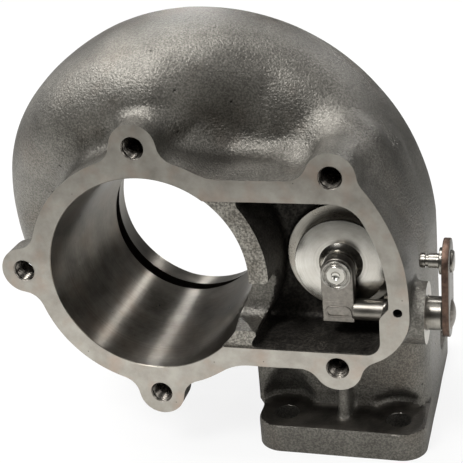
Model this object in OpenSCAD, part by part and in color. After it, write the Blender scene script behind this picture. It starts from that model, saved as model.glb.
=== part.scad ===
// Turbine housing with an internal wastegate.
// Millimetres. X to the right, Y from the outlet face into the housing, Z up.
// The origin is on the turbine axis, in the plane of the outlet face.

/* [Outlet flange] */
// Radius of the round rim about the outlet bore
rim_r = 52.4; // [50:0.1:54]
// Radius of the outlet bore at the face
outlet_bore_r = 43.6; // [42:0.1:45]
// Radius of the circle of the three bolt holes about the bore
rim_bolt_r = 56.4; // [55:0.1:58]
// Radius of each bolt ear
ear_r = 10.2; // [9:0.1:11]
// Radius of the hollow corner beside each ear
ear_fillet_r = 9; // [6:0.5:12]
// Depth of the ears that end behind the flange
ear_depth = 13; // [10:0.5:18]
// Minor radius of a tapped bolt hole
outlet_hole_r = 4.25; // [3.3:0.05:4.4]
// Depth of the top tapped hole
outlet_hole_depth = 24; // [20:0.5:26]
// Radius of the countersink at a tapped hole
outlet_chamfer_r = 4.9; // [4.6:0.1:5.4]
// Depth of the countersink at a tapped hole
outlet_chamfer_depth = 0.7; // [0.4:0.1:1]

/* [Wastegate side of the flange] */
// Height of the straight top edge
side_top_z = 43.5; // [42:0.1:46]
// Depth of the straight bottom edge below the axis
side_bottom_z = 40.2; // [39:0.1:43]
// Distance of the right-hand edge from the axis
side_x = 108.8; // [107:0.1:110]
// Height where the right-hand edge is upright
side_z = -8; // [-10:0.5:-6]
// Radius of the long upper arc of the right-hand edge
side_arc_r = 79; // [76:0.5:82]
// Radius of the short lower arc of the right-hand edge
side_corner_r = 24.5; // [23:0.5:26]
// Place of the upper bolt hole from the axis
upper_bolt_x = 79.7; // [78:0.1:81]
// Height of the upper bolt hole
upper_bolt_z = 45.2; // [44:0.1:47]
// Place of the lower bolt hole from the axis
lower_bolt_x = 78.7; // [77:0.1:80]
// Depth of the lower bolt hole below the axis
lower_bolt_z = 38.9; // [38:0.1:41]
// Depth of the upper bolt hole
upper_hole_depth = 22.5; // [18:0.5:26]
// Depth of the lower bolt hole
lower_hole_depth = 21; // [18:0.5:23]

/* [Wastegate pocket] */
// Depth of the pocket from the face
pocket_depth = 32; // [31:0.5:33]
// Thickness of the wall above the pocket
top_wall = 9.2; // [7:0.1:10]
// Thickness of the wall below the pocket
bottom_wall = 8.2; // [7:0.1:9]
// Thickness of the wall to the right of the pocket
side_wall = 8.2; // [7:0.1:9]
// Radius of the pocket's upper corner
pocket_corner_r = 14; // [10:0.5:16]
// Radius of the pocket's lower corner
pocket_foot_r = 6; // [4:0.5:8]
// Distance from the axis to the boss that the shaft enters
boss_inner_x = 96.7; // [96:0.1:97.4]
// Wall between the outlet bore and the pocket
divider_wall = 8; // [6:0.1:9]
// How far the rough top of that wall lies below the face
divider_drop = 1.2; // [0.6:0.1:2]
// Depth of the slot through that wall
slot_depth = 17; // [14:0.5:20]
// Top of the slot below the axis
slot_top = 2.2; // [1:0.1:4]
// Bottom of the slot below the axis
slot_bottom = 24.5; // [23:0.1:26]
// Radius of the slot's inner corners
slot_corner_r = 6; // [3:0.5:8]

/* [Wastegate valve] */
// Distance of the valve's axis from the turbine axis
valve_x = 77.8; // [77:0.1:78.2]
// Depth of the valve's axis below the turbine axis
valve_z = 1.4; // [1:0.1:2]
// Radius of the valve disc
valve_r = 19.6; // [18.5:0.1:19.8]
// Thickness of the valve disc
valve_thickness = 4.6; // [4:0.1:5]
// Radius of the valve's cone at the disc
hub_r = 9.3; // [8.5:0.1:10]
// Height of the valve's cone
hub_height = 3.7; // [3.2:0.1:4]
// Radius of the stud that holds the valve in the arm
stud_r = 4; // [3.5:0.1:4.2]
// Radius of the washer on the stud
washer_r = 6.3; // [5.8:0.1:6.6]
// Thickness of the washer
washer_thickness = 1.6; // [1.2:0.1:2]
// Gap between the closed valve and its seat
seat_gap = 0.3; // [0.2:0.05:0.5]
// Radius of the gas port behind the valve
port_r = 15.5; // [14:0.1:16.5]
// Width of the seat land about the port
seat_land = 3.7; // [3:0.1:4]
// Radius of the machined ring about the seat
seat_ring_r = 24.2; // [23:0.1:24.6]
// Height of the seat land above that ring
seat_step = 2.4; // [1.5:0.1:3]

/* [Swing arm] */
// Place of the shaft's axis behind the outlet face
shaft_y = 15; // [14.6:0.1:15.4]
// Depth of the shaft's axis below the turbine axis
shaft_z = 18.8; // [18.4:0.1:19.4]
// Radius of the shaft
shaft_r = 4.5; // [4:0.05:4.7]
// Width of the arm
arm_width = 13.6; // [13:0.1:14.4]
// Thickness of the arm
arm_thickness = 6; // [5.4:0.1:6.4]
// Height of the raised oval pad on the arm's foot
pad_height = 0.4; // [0.2:0.1:0.6]
// Radial gap between the shaft and its bushing
running_gap = 0.05; // [0.03:0.01:0.08]
// End play between the arm's eye and the valve and washer
end_play = 0.3; // [0.2:0.05:0.5]

/* [Bushing and crank] */
// Outer radius of the shaft bushing
bushing_r = 7; // [6.6:0.1:7.6]
// How far the bushing stands out of its boss
bushing_stand_out = 6.3; // [5:0.1:7]
// Radius of the boss on the right-hand wall
boss_r = 13; // [11.5:0.5:14]
// Distance of the boss's machined face from the turbine axis
boss_face_x = 114.3; // [113.8:0.1:115]
// Radius of the bushing's lock pin
lock_pin_r = 1.8; // [1.5:0.1:2]
// Height of the lock pin's axis above the shaft's axis
lock_pin_offset = 6.8; // [6.6:0.1:7]
// Distance of the lock pin from the turbine axis
lock_pin_x = 104.2; // [103:0.1:105.5]
// Length of the lock pin
lock_pin_length = 19; // [16:0.5:20]
// How far the lock pin lies below the outlet face
lock_pin_drop = 3; // [1:0.5:4]
// Interference of a pressed fit on the radius
press = 0.01; // [0:0.005:0.02]
// Thickness of the crank lever
lever_thickness = 3; // [2.5:0.1:4]
// Radius of the crank lever's round ends
lever_end_r = 9.4; // [8.5:0.1:10]
// Distance between the shaft and the crank pin
crank_throw = 23.6; // [22:0.1:26]
// Radius of the crank pin
pin_r = 3; // [2.5:0.1:3.2]
// Length of the crank pin inside the lever
pin_length = 9.4; // [8:0.1:9.6]
// Radius of the crank pin's collar
collar_r = 5.5; // [4.5:0.1:6]
// Thickness of the crank pin's collar
collar_thickness = 1.5; // [1:0.1:2]
// Radius of the crank pin's riveted head
rivet_r = 4.6; // [4:0.1:5]
// Height of the riveted head
rivet_height = 1.5; // [1:0.1:2]
// Width of the clip groove in the crank pin
groove_width = 1.2; // [0.8:0.1:1.5]
// Depth of the clip groove in the crank pin
groove_depth = 0.6; // [0.4:0.1:0.9]
// Radius of the weld over the shaft's end
weld_r = 6.4; // [5.6:0.1:7]
// Height of the weld over the shaft's end
weld_height = 1.8; // [1.2:0.1:2.4]

/* [Scroll] */
// Place of the middle of the scroll behind the outlet face
scroll_y = 64; // [63:0.5:65]
// Outer radius of the scroll where it leaves the inlet
scroll_start_r = 111.7; // [110:0.1:113]
// Outer radius of the scroll at its small end
scroll_end_r = 77; // [76:0.1:79]
// How far the scroll's front bulges towards the outlet flange over its upper left part
front_bulge = 22; // [16:0.5:23]
// How far the scroll's front bulges beside the upper right bolt ear
ear_bulge = 18; // [14:0.5:19]
// Angle that the scroll turns through
scroll_sweep = 300; // [290:1:310]
// Inner radius of the scroll's outer skin
scroll_inner_r = 40; // [38:0.5:41]
// Half width of the casting at the inlet along the turbine axis
inlet_half_depth = 35; // [34:0.5:36]
// Thickness of the scroll's wall
scroll_wall = 6; // [5:0.1:6.5]

/* [Turbine bore] */
// Loss of bore radius for each millimetre of depth
bore_taper = 0.123; // [0.1:0.005:0.14]
// Place of the near edge of the gas slot
throat_y = 60.6; // [60:0.1:61.5]
// Width of the gas slot
throat_width = 10.8; // [9:0.1:12]
// Bore radius at the far edge of the gas slot
wheel_r = 38.6; // [38:0.1:39]
// Bore radius at the step behind the wheel
back_bore_r = 41.4; // [41:0.1:42]
// Place of the step behind the wheel
back_step_y = 85.5; // [84:0.1:87]
// Place of the back face
back_face_y = 96; // [95:0.1:98]
// Radius of the centre housing's register in the back face
register_r = 47; // [45:0.1:48]
// Radius of the back flange
back_flange_r = 62; // [61:0.5:64]
// Radius of the circle of bolt holes in the back face
back_bolt_r = 55; // [54:0.1:55.6]
// Minor radius of a tapped hole in the back face
back_hole_r = 3.4; // [2.5:0.05:3.4]
// Depth of a tapped hole in the back face
back_hole_depth = 14; // [10:1:15]

/* [Inlet flange] */
// Distance of the inlet's centre from the turbine axis
inlet_x = 75; // [74.5:0.1:75.2]
// Width of the inlet flange
inlet_width = 75; // [74:0.5:76]
// Length of the inlet flange along the turbine axis
inlet_length = 108; // [106:0.5:110]
// Thickness of the inlet flange
inlet_thickness = 13.4; // [12:0.1:15]
// Depth of the inlet face below the turbine axis
inlet_face_z = 89; // [88:0.1:90]
// Radius of the inlet flange's corners
inlet_corner_r = 11; // [8:0.5:12]
// Distance between the inlet's bolt holes across the flange
inlet_bolt_x = 50; // [49:0.1:51]
// Distance between the inlet's bolt holes along the flange
inlet_bolt_y = 84; // [83:0.1:85]
// Radius of the inlet's bolt holes
inlet_hole_r = 5.5; // [4.5:0.05:5.6]
// Radius of the room for a bolt head or nut
scallop_r = 13.5; // [12:0.1:14]
// Height of the room for a bolt head or nut
scallop_height = 12; // [10:0.5:16]
// Width of the gas inlet
inlet_port_width = 44; // [42:0.5:46]
// Length of the gas inlet
inlet_port_length = 57; // [56:0.5:58]
// Radius of the gas inlet's corners
inlet_port_corner_r = 12; // [10:0.5:13]
// Distance of the neck's flat left flank from the turbine axis
flank_x = 35.2; // [34.8:0.1:36]
// Width of that flank
flank_width = 14.3; // [13:0.1:15]
// How far that flank stands out of the neck's front
flank_proud = 1; // [0.8:0.1:1.2]
// Thickness of the rib under the lower bolt ear
rib_width = 5.5; // [5:0.5:8]

/* [Hidden] */
$fn = 64;

// How far a cut runs past the face it opens
past = 1;
// Small sink of one cast form into the next
sink = 0.5;

// Outlet side, as places in the plane of the face
rim_bolts = [[0, rim_bolt_r], [-rim_bolt_r, 0], [0, -rim_bolt_r]];
upper_bolt = [upper_bolt_x, upper_bolt_z];
lower_bolt = [lower_bolt_x, -lower_bolt_z];
outlet_bolts = concat(rim_bolts, [upper_bolt, lower_bolt]);
// The holes in the two short ears run right through
through = ear_depth + past;
outlet_depths = [outlet_hole_depth, through, through, upper_hole_depth, lower_hole_depth];
side_arc_centre = [side_x - side_arc_r, side_z];
side_corner_drop = 5;
side_corner_centre = [side_x - side_corner_r, side_z - side_corner_drop];
// Top of the thick wall that the shaft runs through
boss_wall_top_z = side_z - 7;
// The flange's skin runs back into the scroll
skin_depth = 44;
long_ear_depth = 34;
lower_ear_depth = lower_hole_depth + 5;
// Width of the hollow corners between the rim and the straight edges
edge_fillet_r = 20;

// Wastegate
pocket_top_z = side_top_z - top_wall;
pocket_bottom_z = bottom_wall - side_bottom_z;
pocket_arc_r = side_arc_r - side_wall;
divider_r = outlet_bore_r + divider_wall;
arm_front_y = shaft_y - arm_thickness / 2;
arm_back_y = shaft_y + arm_thickness / 2;
hub_top_y = arm_back_y + end_play;
valve_face_y = hub_top_y + hub_height;
seat_y = valve_face_y + valve_thickness + seat_gap;
ring_y = seat_y + seat_step;
seat_land_r = port_r + seat_land;
hub_small_r = arm_width / 2 + 0.4;
washer_back_y = arm_front_y - end_play;
washer_front_y = washer_back_y - washer_thickness;
arm_left_x = valve_x - arm_width / 2;

// Crank
bushing_end_x = boss_face_x + bushing_stand_out;
lever_in_x = bushing_end_x + end_play;
lever_out_x = lever_in_x + lever_thickness;
pin_tip_x = lever_in_x - pin_length;
pin_z = crank_throw - shaft_z;
groove_x = pin_tip_x + 2.4;
lock_pin_z = lock_pin_offset - shaft_z;
lock_pin_end_y = lock_pin_drop + lock_pin_length;

// Turbine bore
throat_r = outlet_bore_r - bore_taper * throat_y;
throat_end_y = throat_y + throat_width;
// Solid middle of the casting, behind the flange's skin
core_r = scroll_inner_r + 17;
core_lap = 8;
back_flange_depth = 16;
// The back face is cut clear of the scroll over this radius and depth
back_room_r = back_flange_r + 1.6;
back_room_depth = 10;
// The gas slot is cut out as far as the passage
throat_mouth_r = scroll_inner_r + scroll_wall + 5;
// The divider's inner side leans back by this much over the pocket's depth
divider_lean = 2;
// The slot is cut from inside the bore to inside the pocket
slot_lap = 4;
slot_start_x = 27.6;

// Inlet
inlet_top_z = inlet_thickness - inlet_face_z;
inlet_bolts = [
    for (side = [-1, 1], end = [-1, 1])
        [inlet_x + side * inlet_bolt_x / 2, scroll_y + end * inlet_bolt_y / 2]
];

// Flank of the neck, from inside the flange up to inside the casting
flank_corner_r = 3;
flank_foot_z = inlet_top_z - sink;
flank_top_z = pocket_bottom_z - 4;

// Rib under the lower bolt ear
rib_x = lower_bolt_x - 2.4;
rib_front_y = 20.5;
rib_depth = 14;

// Scroll sections. The gas passage ends before the skin does, at the tongue
scroll_steps = 24;
neck_steps = 4;
neck_sink = 4;
neck_foot_power = 5.2;
section_points = 20;
skin_last_angle = scroll_sweep + 8;
// How fast the scroll's radius falls at first, against a steady loss at 1
scroll_power = 1.55;
// Each bulge grows between the first two of these angles, and fades between the other two
bulge_angles = [55, 90, 120, 180];
ear_bulge_angles = [0, 22, 22, 44];
passage_last_angle = scroll_sweep - 28;

// Points of an arc from one angle to another
function arc(centre, r, from, to, steps = 12) = [
    for (i = [0:steps])
        let (a = from + (to - from) * i / steps)
        centre + r * [cos(a), sin(a)]
];

// Arc about a centre from the side that faces p to the side that faces q, way 1 or -1
function turn(centre, r, p, q, way) =
    let (
        from = atan2(p[1] - centre[1], p[0] - centre[0]),
        to = atan2(q[1] - centre[1], q[0] - centre[0]),
        span = way > 0 ? (to - from + 720) % 360 : -((from - to + 720) % 360),
        steps = max(2, ceil(abs(span) / (r > 30 ? 5 : 12)))
    )
    arc(centre, r, from, from + span, steps);

// Points of a closed outline without those that lie on the next one
function no_twins(points) = [
    for (i = [0:len(points) - 1])
        if (norm(points[i] - points[(i + 1) % len(points)]) > 0.01) points[i]
];

// Place at distance d1 from c1 and d2 from c2, to one side of the line between them
function meet(c1, d1, c2, d2, side) =
    let (
        v = c2 - c1,
        d = norm(v),
        a = (d1 * d1 - d2 * d2 + d * d) / (2 * d),
        h = sqrt(max(0, d1 * d1 - a * a))
    )
    c1 + a * v / d + side * h * [-v[1], v[0]] / d;

// Centre of the hollow corner between a round form at c and a level edge
function edge_corner(c, r, edge, f, way, side) =
    let (z = edge + way * f)
    [c[0] + side * sqrt(pow(r + f, 2) - pow(z - c[1], 2)), z];

// Centre of the hollow corner on one side of an ear on the round rim
function rim_corner(place, side) =
    meet([0, 0], rim_r + ear_fillet_r, place, ear_r + ear_fillet_r, side);

// An ear on the round rim with its hollow corners
function rim_lobe(place) =
    let (first = rim_corner(place, -1), last = rim_corner(place, 1))
    concat(
        turn(first, ear_fillet_r, [0, 0], place, -1),
        turn(place, ear_r, first, last, 1),
        turn(last, ear_fillet_r, place, [0, 0], -1)
    );

// Rim from the top edge round to the bottom edge, with the ears at lobes
function rim_points(lobes) =
    let (
        top = edge_corner([0, 0], rim_r, side_top_z, edge_fillet_r, 1, 1),
        bottom = edge_corner([0, 0], rim_r, -side_bottom_z, edge_fillet_r, -1, 1),
        starts = concat([top], [for (place = lobes) rim_corner(place, 1)]),
        ends = concat([for (place = lobes) rim_corner(place, -1)], [bottom])
    )
    concat(
        turn(top, edge_fillet_r, [top[0], side_top_z], [0, 0], -1),
        [
            for (i = [0:len(lobes)])
                each concat(
                    turn([0, 0], rim_r, starts[i], ends[i], 1),
                    i < len(lobes) ? rim_lobe(lobes[i]) : []
                )
        ],
        turn(bottom, edge_fillet_r, [0, 0], [bottom[0], -side_bottom_z], -1)
    );

// Right-hand edge from its upright point up to the top edge
function upper_points(with_ear) =
    let (
        outer = meet(
            side_arc_centre, side_arc_r + ear_fillet_r, upper_bolt, ear_r + ear_fillet_r, -1
        ),
        inner = edge_corner(upper_bolt, ear_r, side_top_z, ear_fillet_r, 1, -1)
    )
    with_ear
        ? concat(
            turn(side_arc_centre, side_arc_r, [side_x, side_z], outer, 1),
            turn(outer, ear_fillet_r, side_arc_centre, upper_bolt, -1),
            turn(upper_bolt, ear_r, outer, inner, 1),
            turn(inner, ear_fillet_r, upper_bolt, [inner[0], side_top_z], -1)
        )
        : concat(
            arc(side_arc_centre, side_arc_r, 0, 34),
            [[upper_bolt_x, side_top_z]]
        );

// Bottom edge round the lower corner to the right-hand edge
function lower_points(with_ear) =
    let (
        inner = edge_corner(lower_bolt, ear_r, -side_bottom_z, ear_fillet_r, -1, -1),
        outer = meet(
            side_corner_centre, side_corner_r + ear_fillet_r, lower_bolt, ear_r + ear_fillet_r, 1
        )
    )
    with_ear
        ? concat(
            turn(inner, ear_fillet_r, [inner[0], -side_bottom_z], lower_bolt, -1),
            turn(lower_bolt, ear_r, inner, outer, 1),
            turn(outer, ear_fillet_r, lower_bolt, side_corner_centre, -1),
            turn(side_corner_centre, side_corner_r, outer, [side_x, side_corner_centre[1]], 1)
        )
        : concat(
            [[lower_bolt_x, -side_bottom_z]],
            arc(side_corner_centre, side_corner_r, -80, 0)
        );

// Outline of the flange, round from its right-hand edge
function flange_points(lobes, upper_ear, lower_ear) = no_twins(concat(
    upper_points(upper_ear),
    rim_points(lobes),
    lower_points(lower_ear)
));

// Soft step from 0 at one angle to 1 at another
function soft_step(angle, from, to) =
    let (share = min(1, max(0, (angle - from) / (to - from))))
    share * share * (3 - 2 * share);

// Soft rise from 0 to 1 and fall back to 0, at four angles
function swell(angle, at) = soft_step(angle, at[0], at[1]) * (1 - soft_step(angle, at[2], at[3]));

// How far the scroll's front bulges at an angle
function bulge(angle) =
    front_bulge * swell(angle, bulge_angles) + ear_bulge * swell(angle, ear_bulge_angles);

// Outer radius of the scroll at an angle from the inlet side
function scroll_r(angle) =
    scroll_end_r
    + (scroll_start_r - scroll_end_r) * pow(max(0, 1 - angle / scroll_sweep), scroll_power);

// Half width of the scroll's section across and along the turbine axis
function section_a(angle) = (scroll_r(angle) - scroll_inner_r) / 2;
function section_b(angle) =
    section_a(angle) + (inlet_half_depth - section_a(0)) * max(0, 1 - angle / 90);

// Squareness of the section, which is nearly a rectangle at the inlet
function section_power(angle) = 2.3 + 1.3 * max(0, 1 - angle / 80);

// One point of a rounded section: p[0] across, p[1] along the axis
function rounded(a, b, power, t) = [
    a * sign(cos(t)) * pow(abs(cos(t)), 2 / power),
    b * sign(sin(t)) * pow(abs(sin(t)), 2 / power)
];

// Ring of points of the scroll at an angle, with its skin moved in by inset. Its front half is deeper
function scroll_ring(angle, inset, deeper = 0) =
    let (
        centre_r = scroll_r(angle) - section_a(angle),
        half_depth = section_b(angle) - inset,
        stretch = 1 + deeper / half_depth
    )
    [
        for (k = [0:section_points - 1])
            let (
                t = 360 * k / section_points,
                p = rounded(section_a(angle) - inset, half_depth, section_power(angle), t),
                r = centre_r + p[0]
            )
            [r * cos(angle), scroll_y + p[1] * (p[1] < 0 ? stretch : 1), r * sin(angle)]
    ];

// Ring of points of the upright duct between the inlet flange and the scroll
function duct_ring(z, centre_x, a, b, power) = [
    for (k = [0:section_points - 1])
        let (p = rounded(a, b, power, 360 * k / section_points))
        [centre_x + p[0], scroll_y + p[1], z]
];

// Rings of the neck from its foot up to the scroll's first ring
function neck_rings(foot_z, foot_a, foot_b, foot_power, inset) = [
    for (i = [0:neck_steps])
        let (share = 1 - i / neck_steps)
        duct_ring(
            foot_z * share,
            (scroll_start_r - section_a(0)) * (1 - share) + inlet_x * share,
            (section_a(0) - inset) * (1 - share) + foot_a * share,
            (inlet_half_depth - inset) * (1 - share) + foot_b * share,
            section_power(0) * (1 - share) + foot_power * share
        )
];

// Faces that skin a stack of rings and close both ends
function skin_faces(rings) = concat(
    [
        for (i = [0:rings - 2], k = [0:section_points - 1])
            let (
                a = i * section_points + k,
                b = i * section_points + (k + 1) % section_points
            )
            each [[a, b + section_points, b], [a, a + section_points, b + section_points]]
    ],
    [[for (k = [0:section_points - 1]) k]],
    [[for (k = [0:section_points - 1]) rings * section_points - 1 - k]]
);

module skin(rings) {
    polyhedron(
        points = [for (ring = rings) each ring],
        faces = skin_faces(len(rings)),
        convexity = 6
    );
}

module along_x(from, to, y, z) {
    translate([from, y, z]) rotate([90, 0, 90]) linear_extrude(to - from) children();
}

module along_y(from, to) {
    translate([0, to, 0]) rotate([90, 0, 0]) linear_extrude(to - from) children();
}

module round_x(r, from, to, y, z) {
    translate([from, y, z]) rotate([0, 90, 0]) cylinder(r = r, h = to - from);
}

module round_y(r, from, to, place = [0, 0], end_r = undef) {
    translate([place[0], from, place[1]])
        rotate([-90, 0, 0])
            cylinder(r1 = r, r2 = is_undef(end_r) ? r : end_r, h = to - from);
}

module flange_slice(from, to, lobes, upper_ear, lower_ear) {
    along_y(from, to) polygon(flange_points(lobes, upper_ear, lower_ear));
}

// Mouth of the pocket, from the axis to its right-hand wall
module pocket_outline() {
    corner_z = pocket_top_z - pocket_corner_r;
    corner_reach = pocket_arc_r - pocket_corner_r;
    corner_angle = asin((corner_z - side_z) / corner_reach);
    corner = side_arc_centre + corner_reach * [cos(corner_angle), sin(corner_angle)];
    foot = [boss_inner_x - pocket_foot_r, pocket_bottom_z + pocket_foot_r];
    polygon(concat(
        [[0, pocket_bottom_z]],
        arc(foot, pocket_foot_r, -90, 0),
        [[boss_inner_x, boss_wall_top_z]],
        arc(side_arc_centre, pocket_arc_r, -2, corner_angle),
        arc(corner, pocket_corner_r, corner_angle, 90),
        [[0, pocket_top_z]]
    ));
}

module slot_outline() {
    corner = slot_corner_r;
    polygon(concat(
        [[-past, -slot_bottom]],
        arc([slot_depth - corner, corner - slot_bottom], corner, -90, 0),
        arc([slot_depth - corner, -slot_top - corner], corner, 0, 90),
        [[-past, -slot_top]]
    ));
}

module rounded_rectangle(width, length, r) {
    square([width - 2 * r, length], center = true);
    square([width, length - 2 * r], center = true);
    for (x = [-1, 1], y = [-1, 1])
        translate([x * (width / 2 - r), y * (length / 2 - r)]) circle(r);
}

module outlet_flange() {
    flange_slice(0, ear_depth, rim_bolts, true, true);
    flange_slice(ear_depth, lower_ear_depth, [rim_bolts[0]], true, true);
    flange_slice(lower_ear_depth, long_ear_depth, [rim_bolts[0]], true, false);
    flange_slice(long_ear_depth, skin_depth, [], false, false);
}

// Upright neck between the inlet flange and the scroll
module neck_skin() {
    foot_z = inlet_top_z - neck_sink;
    skin(neck_rings(foot_z, inlet_width / 2, inlet_half_depth, neck_foot_power, 0));
}

module scroll_skin() {
    skin([
        for (i = [0:scroll_steps])
            let (angle = skin_last_angle * i / scroll_steps)
            scroll_ring(angle, 0, bulge(angle))
    ]);
}

module scroll_passage() {
    foot_z = inlet_thickness / 2 - inlet_face_z;
    skin(concat(
        neck_rings(
            foot_z, inlet_port_width / 2, inlet_port_length / 2, section_power(0), scroll_wall
        ),
        [for (i = [1:scroll_steps]) scroll_ring(passage_last_angle * i / scroll_steps, scroll_wall)]
    ));
}

module inlet_flange() {
    translate([inlet_x, scroll_y, -inlet_face_z])
        linear_extrude(inlet_thickness)
            rounded_rectangle(inlet_width, inlet_length, inlet_corner_r);
}

module inlet_cuts() {
    translate([inlet_x, scroll_y, -inlet_face_z - past])
        linear_extrude(inlet_thickness)
            rounded_rectangle(inlet_port_width, inlet_port_length, inlet_port_corner_r);
    for (place = inlet_bolts)
        translate([place[0], place[1], -inlet_face_z - past]) {
            cylinder(r = inlet_hole_r, h = inlet_thickness + 2 * past);
            translate([0, 0, inlet_thickness + past]) cylinder(r = scallop_r, h = scallop_height);
        }
}

// Flat flank of the neck beside the scroll's small end
module neck_flank() {
    translate([flank_x + flank_width / 2, scroll_y, flank_foot_z])
        linear_extrude(flank_top_z - flank_foot_z)
            rounded_rectangle(flank_width, 2 * (inlet_half_depth + flank_proud), flank_corner_r);
}

// Rib from the inlet flange up to the lower bolt ear
module ear_rib() {
    height = -lower_bolt_z - ear_r / 2 - inlet_top_z;
    translate([rib_x, rib_front_y, inlet_top_z - sink]) {
        cylinder(d = rib_width, h = height + sink);
        translate([-rib_width / 2, 0, 0]) cube([rib_width, rib_depth, height + sink]);
    }
}

module turbine_bore() {
    rotate([-90, 0, 0])
        rotate_extrude($fn = 128)
            polygon([
                [0, -past],
                [outlet_bore_r + bore_taper * past, -past],
                [throat_r, throat_y],
                [throat_mouth_r, throat_y],
                [throat_mouth_r, throat_end_y],
                [wheel_r, throat_end_y],
                [back_bore_r, back_step_y],
                [register_r, back_step_y],
                [register_r, back_face_y + past],
                [0, back_face_y + past]
            ]);
}

module wastegate_cuts() {
    along_y(-past, divider_drop) pocket_outline();
    difference() {
        along_y(0, pocket_depth) pocket_outline();
        round_y(divider_r, -past, pocket_depth + past, [0, 0], divider_r + divider_lean);
        // Raised ring and land of the valve seat
        round_y(seat_ring_r, ring_y, pocket_depth + past, [valve_x, -valve_z]);
        round_y(seat_land_r, seat_y, pocket_depth + past, [valve_x, -valve_z]);
    }
    // Port from the seat into the gas passage
    port_end_y = scroll_y - inlet_half_depth + scroll_wall + 8;
    round_y(port_r, seat_y - past, port_end_y, [valve_x, -valve_z]);
    along_x(slot_start_x, divider_r + slot_lap, 0, 0) slot_outline();
    round_x(bushing_r, boss_inner_x - slot_lap, boss_face_x + past, shaft_y, -shaft_z);
    round_y(lock_pin_r, -past, lock_pin_end_y + past, [lock_pin_x, lock_pin_z]);
}

module outlet_holes() {
    for (i = [0:len(outlet_bolts) - 1]) {
        round_y(outlet_hole_r, -past, outlet_depths[i], outlet_bolts[i]);
        round_y(outlet_chamfer_r, 0, outlet_chamfer_depth, outlet_bolts[i], outlet_hole_r);
    }
}

module back_holes() {
    for (i = [0:5])
        let (a = 60 * i + 30)
        round_y(
            back_hole_r,
            back_face_y - back_hole_depth,
            back_face_y + past,
            back_bolt_r * [cos(a), sin(a)]
        );
}

module turbine_housing() {
    color("#8a857e")
        difference() {
            union() {
                outlet_flange();
                scroll_skin();
                neck_skin();
                neck_flank();
                round_y(core_r, skin_depth - core_lap, back_face_y - core_lap);
                round_y(back_flange_r, back_face_y - back_flange_depth, back_face_y + sink);
                inlet_flange();
                ear_rib();
                round_x(boss_r, side_x - side_wall, boss_face_x, shaft_y, -shaft_z);
            }
            scroll_passage();
            turbine_bore();
            round_y(back_room_r, back_face_y, back_face_y + back_room_depth);
            wastegate_cuts();
            outlet_holes();
            back_holes();
            inlet_cuts();
        }
}

module shaft_bushing() {
    color("#b9b6b0")
        difference() {
            round_x(bushing_r + press, boss_inner_x, bushing_end_x, shaft_y, -shaft_z);
            round_x(shaft_r + running_gap, boss_inner_x - past, bushing_end_x + past, shaft_y, -shaft_z);
            round_y(lock_pin_r, -past, lock_pin_end_y + past, [lock_pin_x, lock_pin_z]);
        }
}

module bushing_lock_pin() {
    color("#3b3937")
        round_y(lock_pin_r + press, lock_pin_drop, lock_pin_end_y, [lock_pin_x, lock_pin_z]);
}

module valve_arm() {
    color("#a9a49b")
        difference() {
            union() {
                along_y(arm_front_y, arm_back_y) {
                    translate([valve_x, -valve_z]) circle(d = arm_width);
                    translate([arm_left_x, -shaft_z]) square([arm_width, shaft_z - valve_z]);
                }
                round_x(shaft_r + 1, arm_left_x, arm_left_x + arm_width, shaft_y, -shaft_z);
                round_x(shaft_r, arm_left_x + sink, lever_out_x, shaft_y, -shaft_z);
                along_y(arm_front_y - pad_height, shaft_y)
                    translate([valve_x, 1 - shaft_z])
                        rounded_rectangle(arm_width - 3, 5, 2.4);
            }
            round_y(stud_r + running_gap, arm_front_y - past, arm_back_y + past, [valve_x, -valve_z]);
        }
}

module flapper_valve() {
    color("#c9c6c0")
        difference() {
            union() {
                round_y(valve_r, valve_face_y, valve_face_y + valve_thickness, [valve_x, -valve_z]);
                round_y(hub_small_r, hub_top_y, valve_face_y + sink, [valve_x, -valve_z], hub_r);
                round_y(stud_r, washer_front_y, valve_face_y + sink, [valve_x, -valve_z]);
            }
            // Peened dimple in the stud's end
            translate([valve_x, washer_front_y - 1, -valve_z]) sphere(1.8);
        }
}

module valve_washer() {
    color("#bdb9b2")
        difference() {
            round_y(washer_r, washer_front_y, washer_back_y, [valve_x, -valve_z]);
            round_y(stud_r - press, washer_front_y - past, washer_back_y + past, [valve_x, -valve_z]);
        }
}

module crank_lever() {
    color("#8f8377")
        difference() {
            along_x(lever_in_x, lever_out_x, shaft_y, -shaft_z) {
                circle(lever_end_r);
                translate([0, crank_throw]) circle(lever_end_r);
                translate([-lever_end_r, 0]) square([2 * lever_end_r, crank_throw]);
            }
            round_x(shaft_r - press, lever_in_x - past, lever_out_x + past, shaft_y, -shaft_z);
            round_x(pin_r - press, lever_in_x - past, lever_out_x + past, shaft_y, pin_z);
        }
}

module crank_pin() {
    core_r = pin_r - groove_depth;
    groove_end_x = groove_x + groove_width;
    color("#d2cfc9")
        difference() {
            union() {
                round_x(pin_r, pin_tip_x, lever_out_x + sink, shaft_y, pin_z);
                round_x(collar_r, lever_in_x - collar_thickness, lever_in_x, shaft_y, pin_z);
                round_x(rivet_r, lever_out_x, lever_out_x + rivet_height, shaft_y, pin_z);
            }
            difference() {
                round_x(pin_r + past, groove_x, groove_end_x, shaft_y, pin_z);
                round_x(core_r, groove_x - past, groove_end_x + past, shaft_y, pin_z);
            }
        }
}

// Shallow dome of weld metal, a slice of a ball
module crank_weld() {
    ball_r = (weld_r * weld_r + weld_height * weld_height) / (2 * weld_height);
    color("#6f675f")
        translate([lever_out_x, shaft_y, -shaft_z])
            rotate([0, 90, 0])
                rotate_extrude()
                    polygon(concat(
                        [[0, 0]],
                        arc([0, weld_height - ball_r], ball_r, 90 - asin(weld_r / ball_r), 90)
                    ));
}

turbine_housing();
shaft_bushing();
bushing_lock_pin();
valve_arm();
flapper_valve();
valve_washer();
crank_lever();
crank_pin();
crank_weld();
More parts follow.
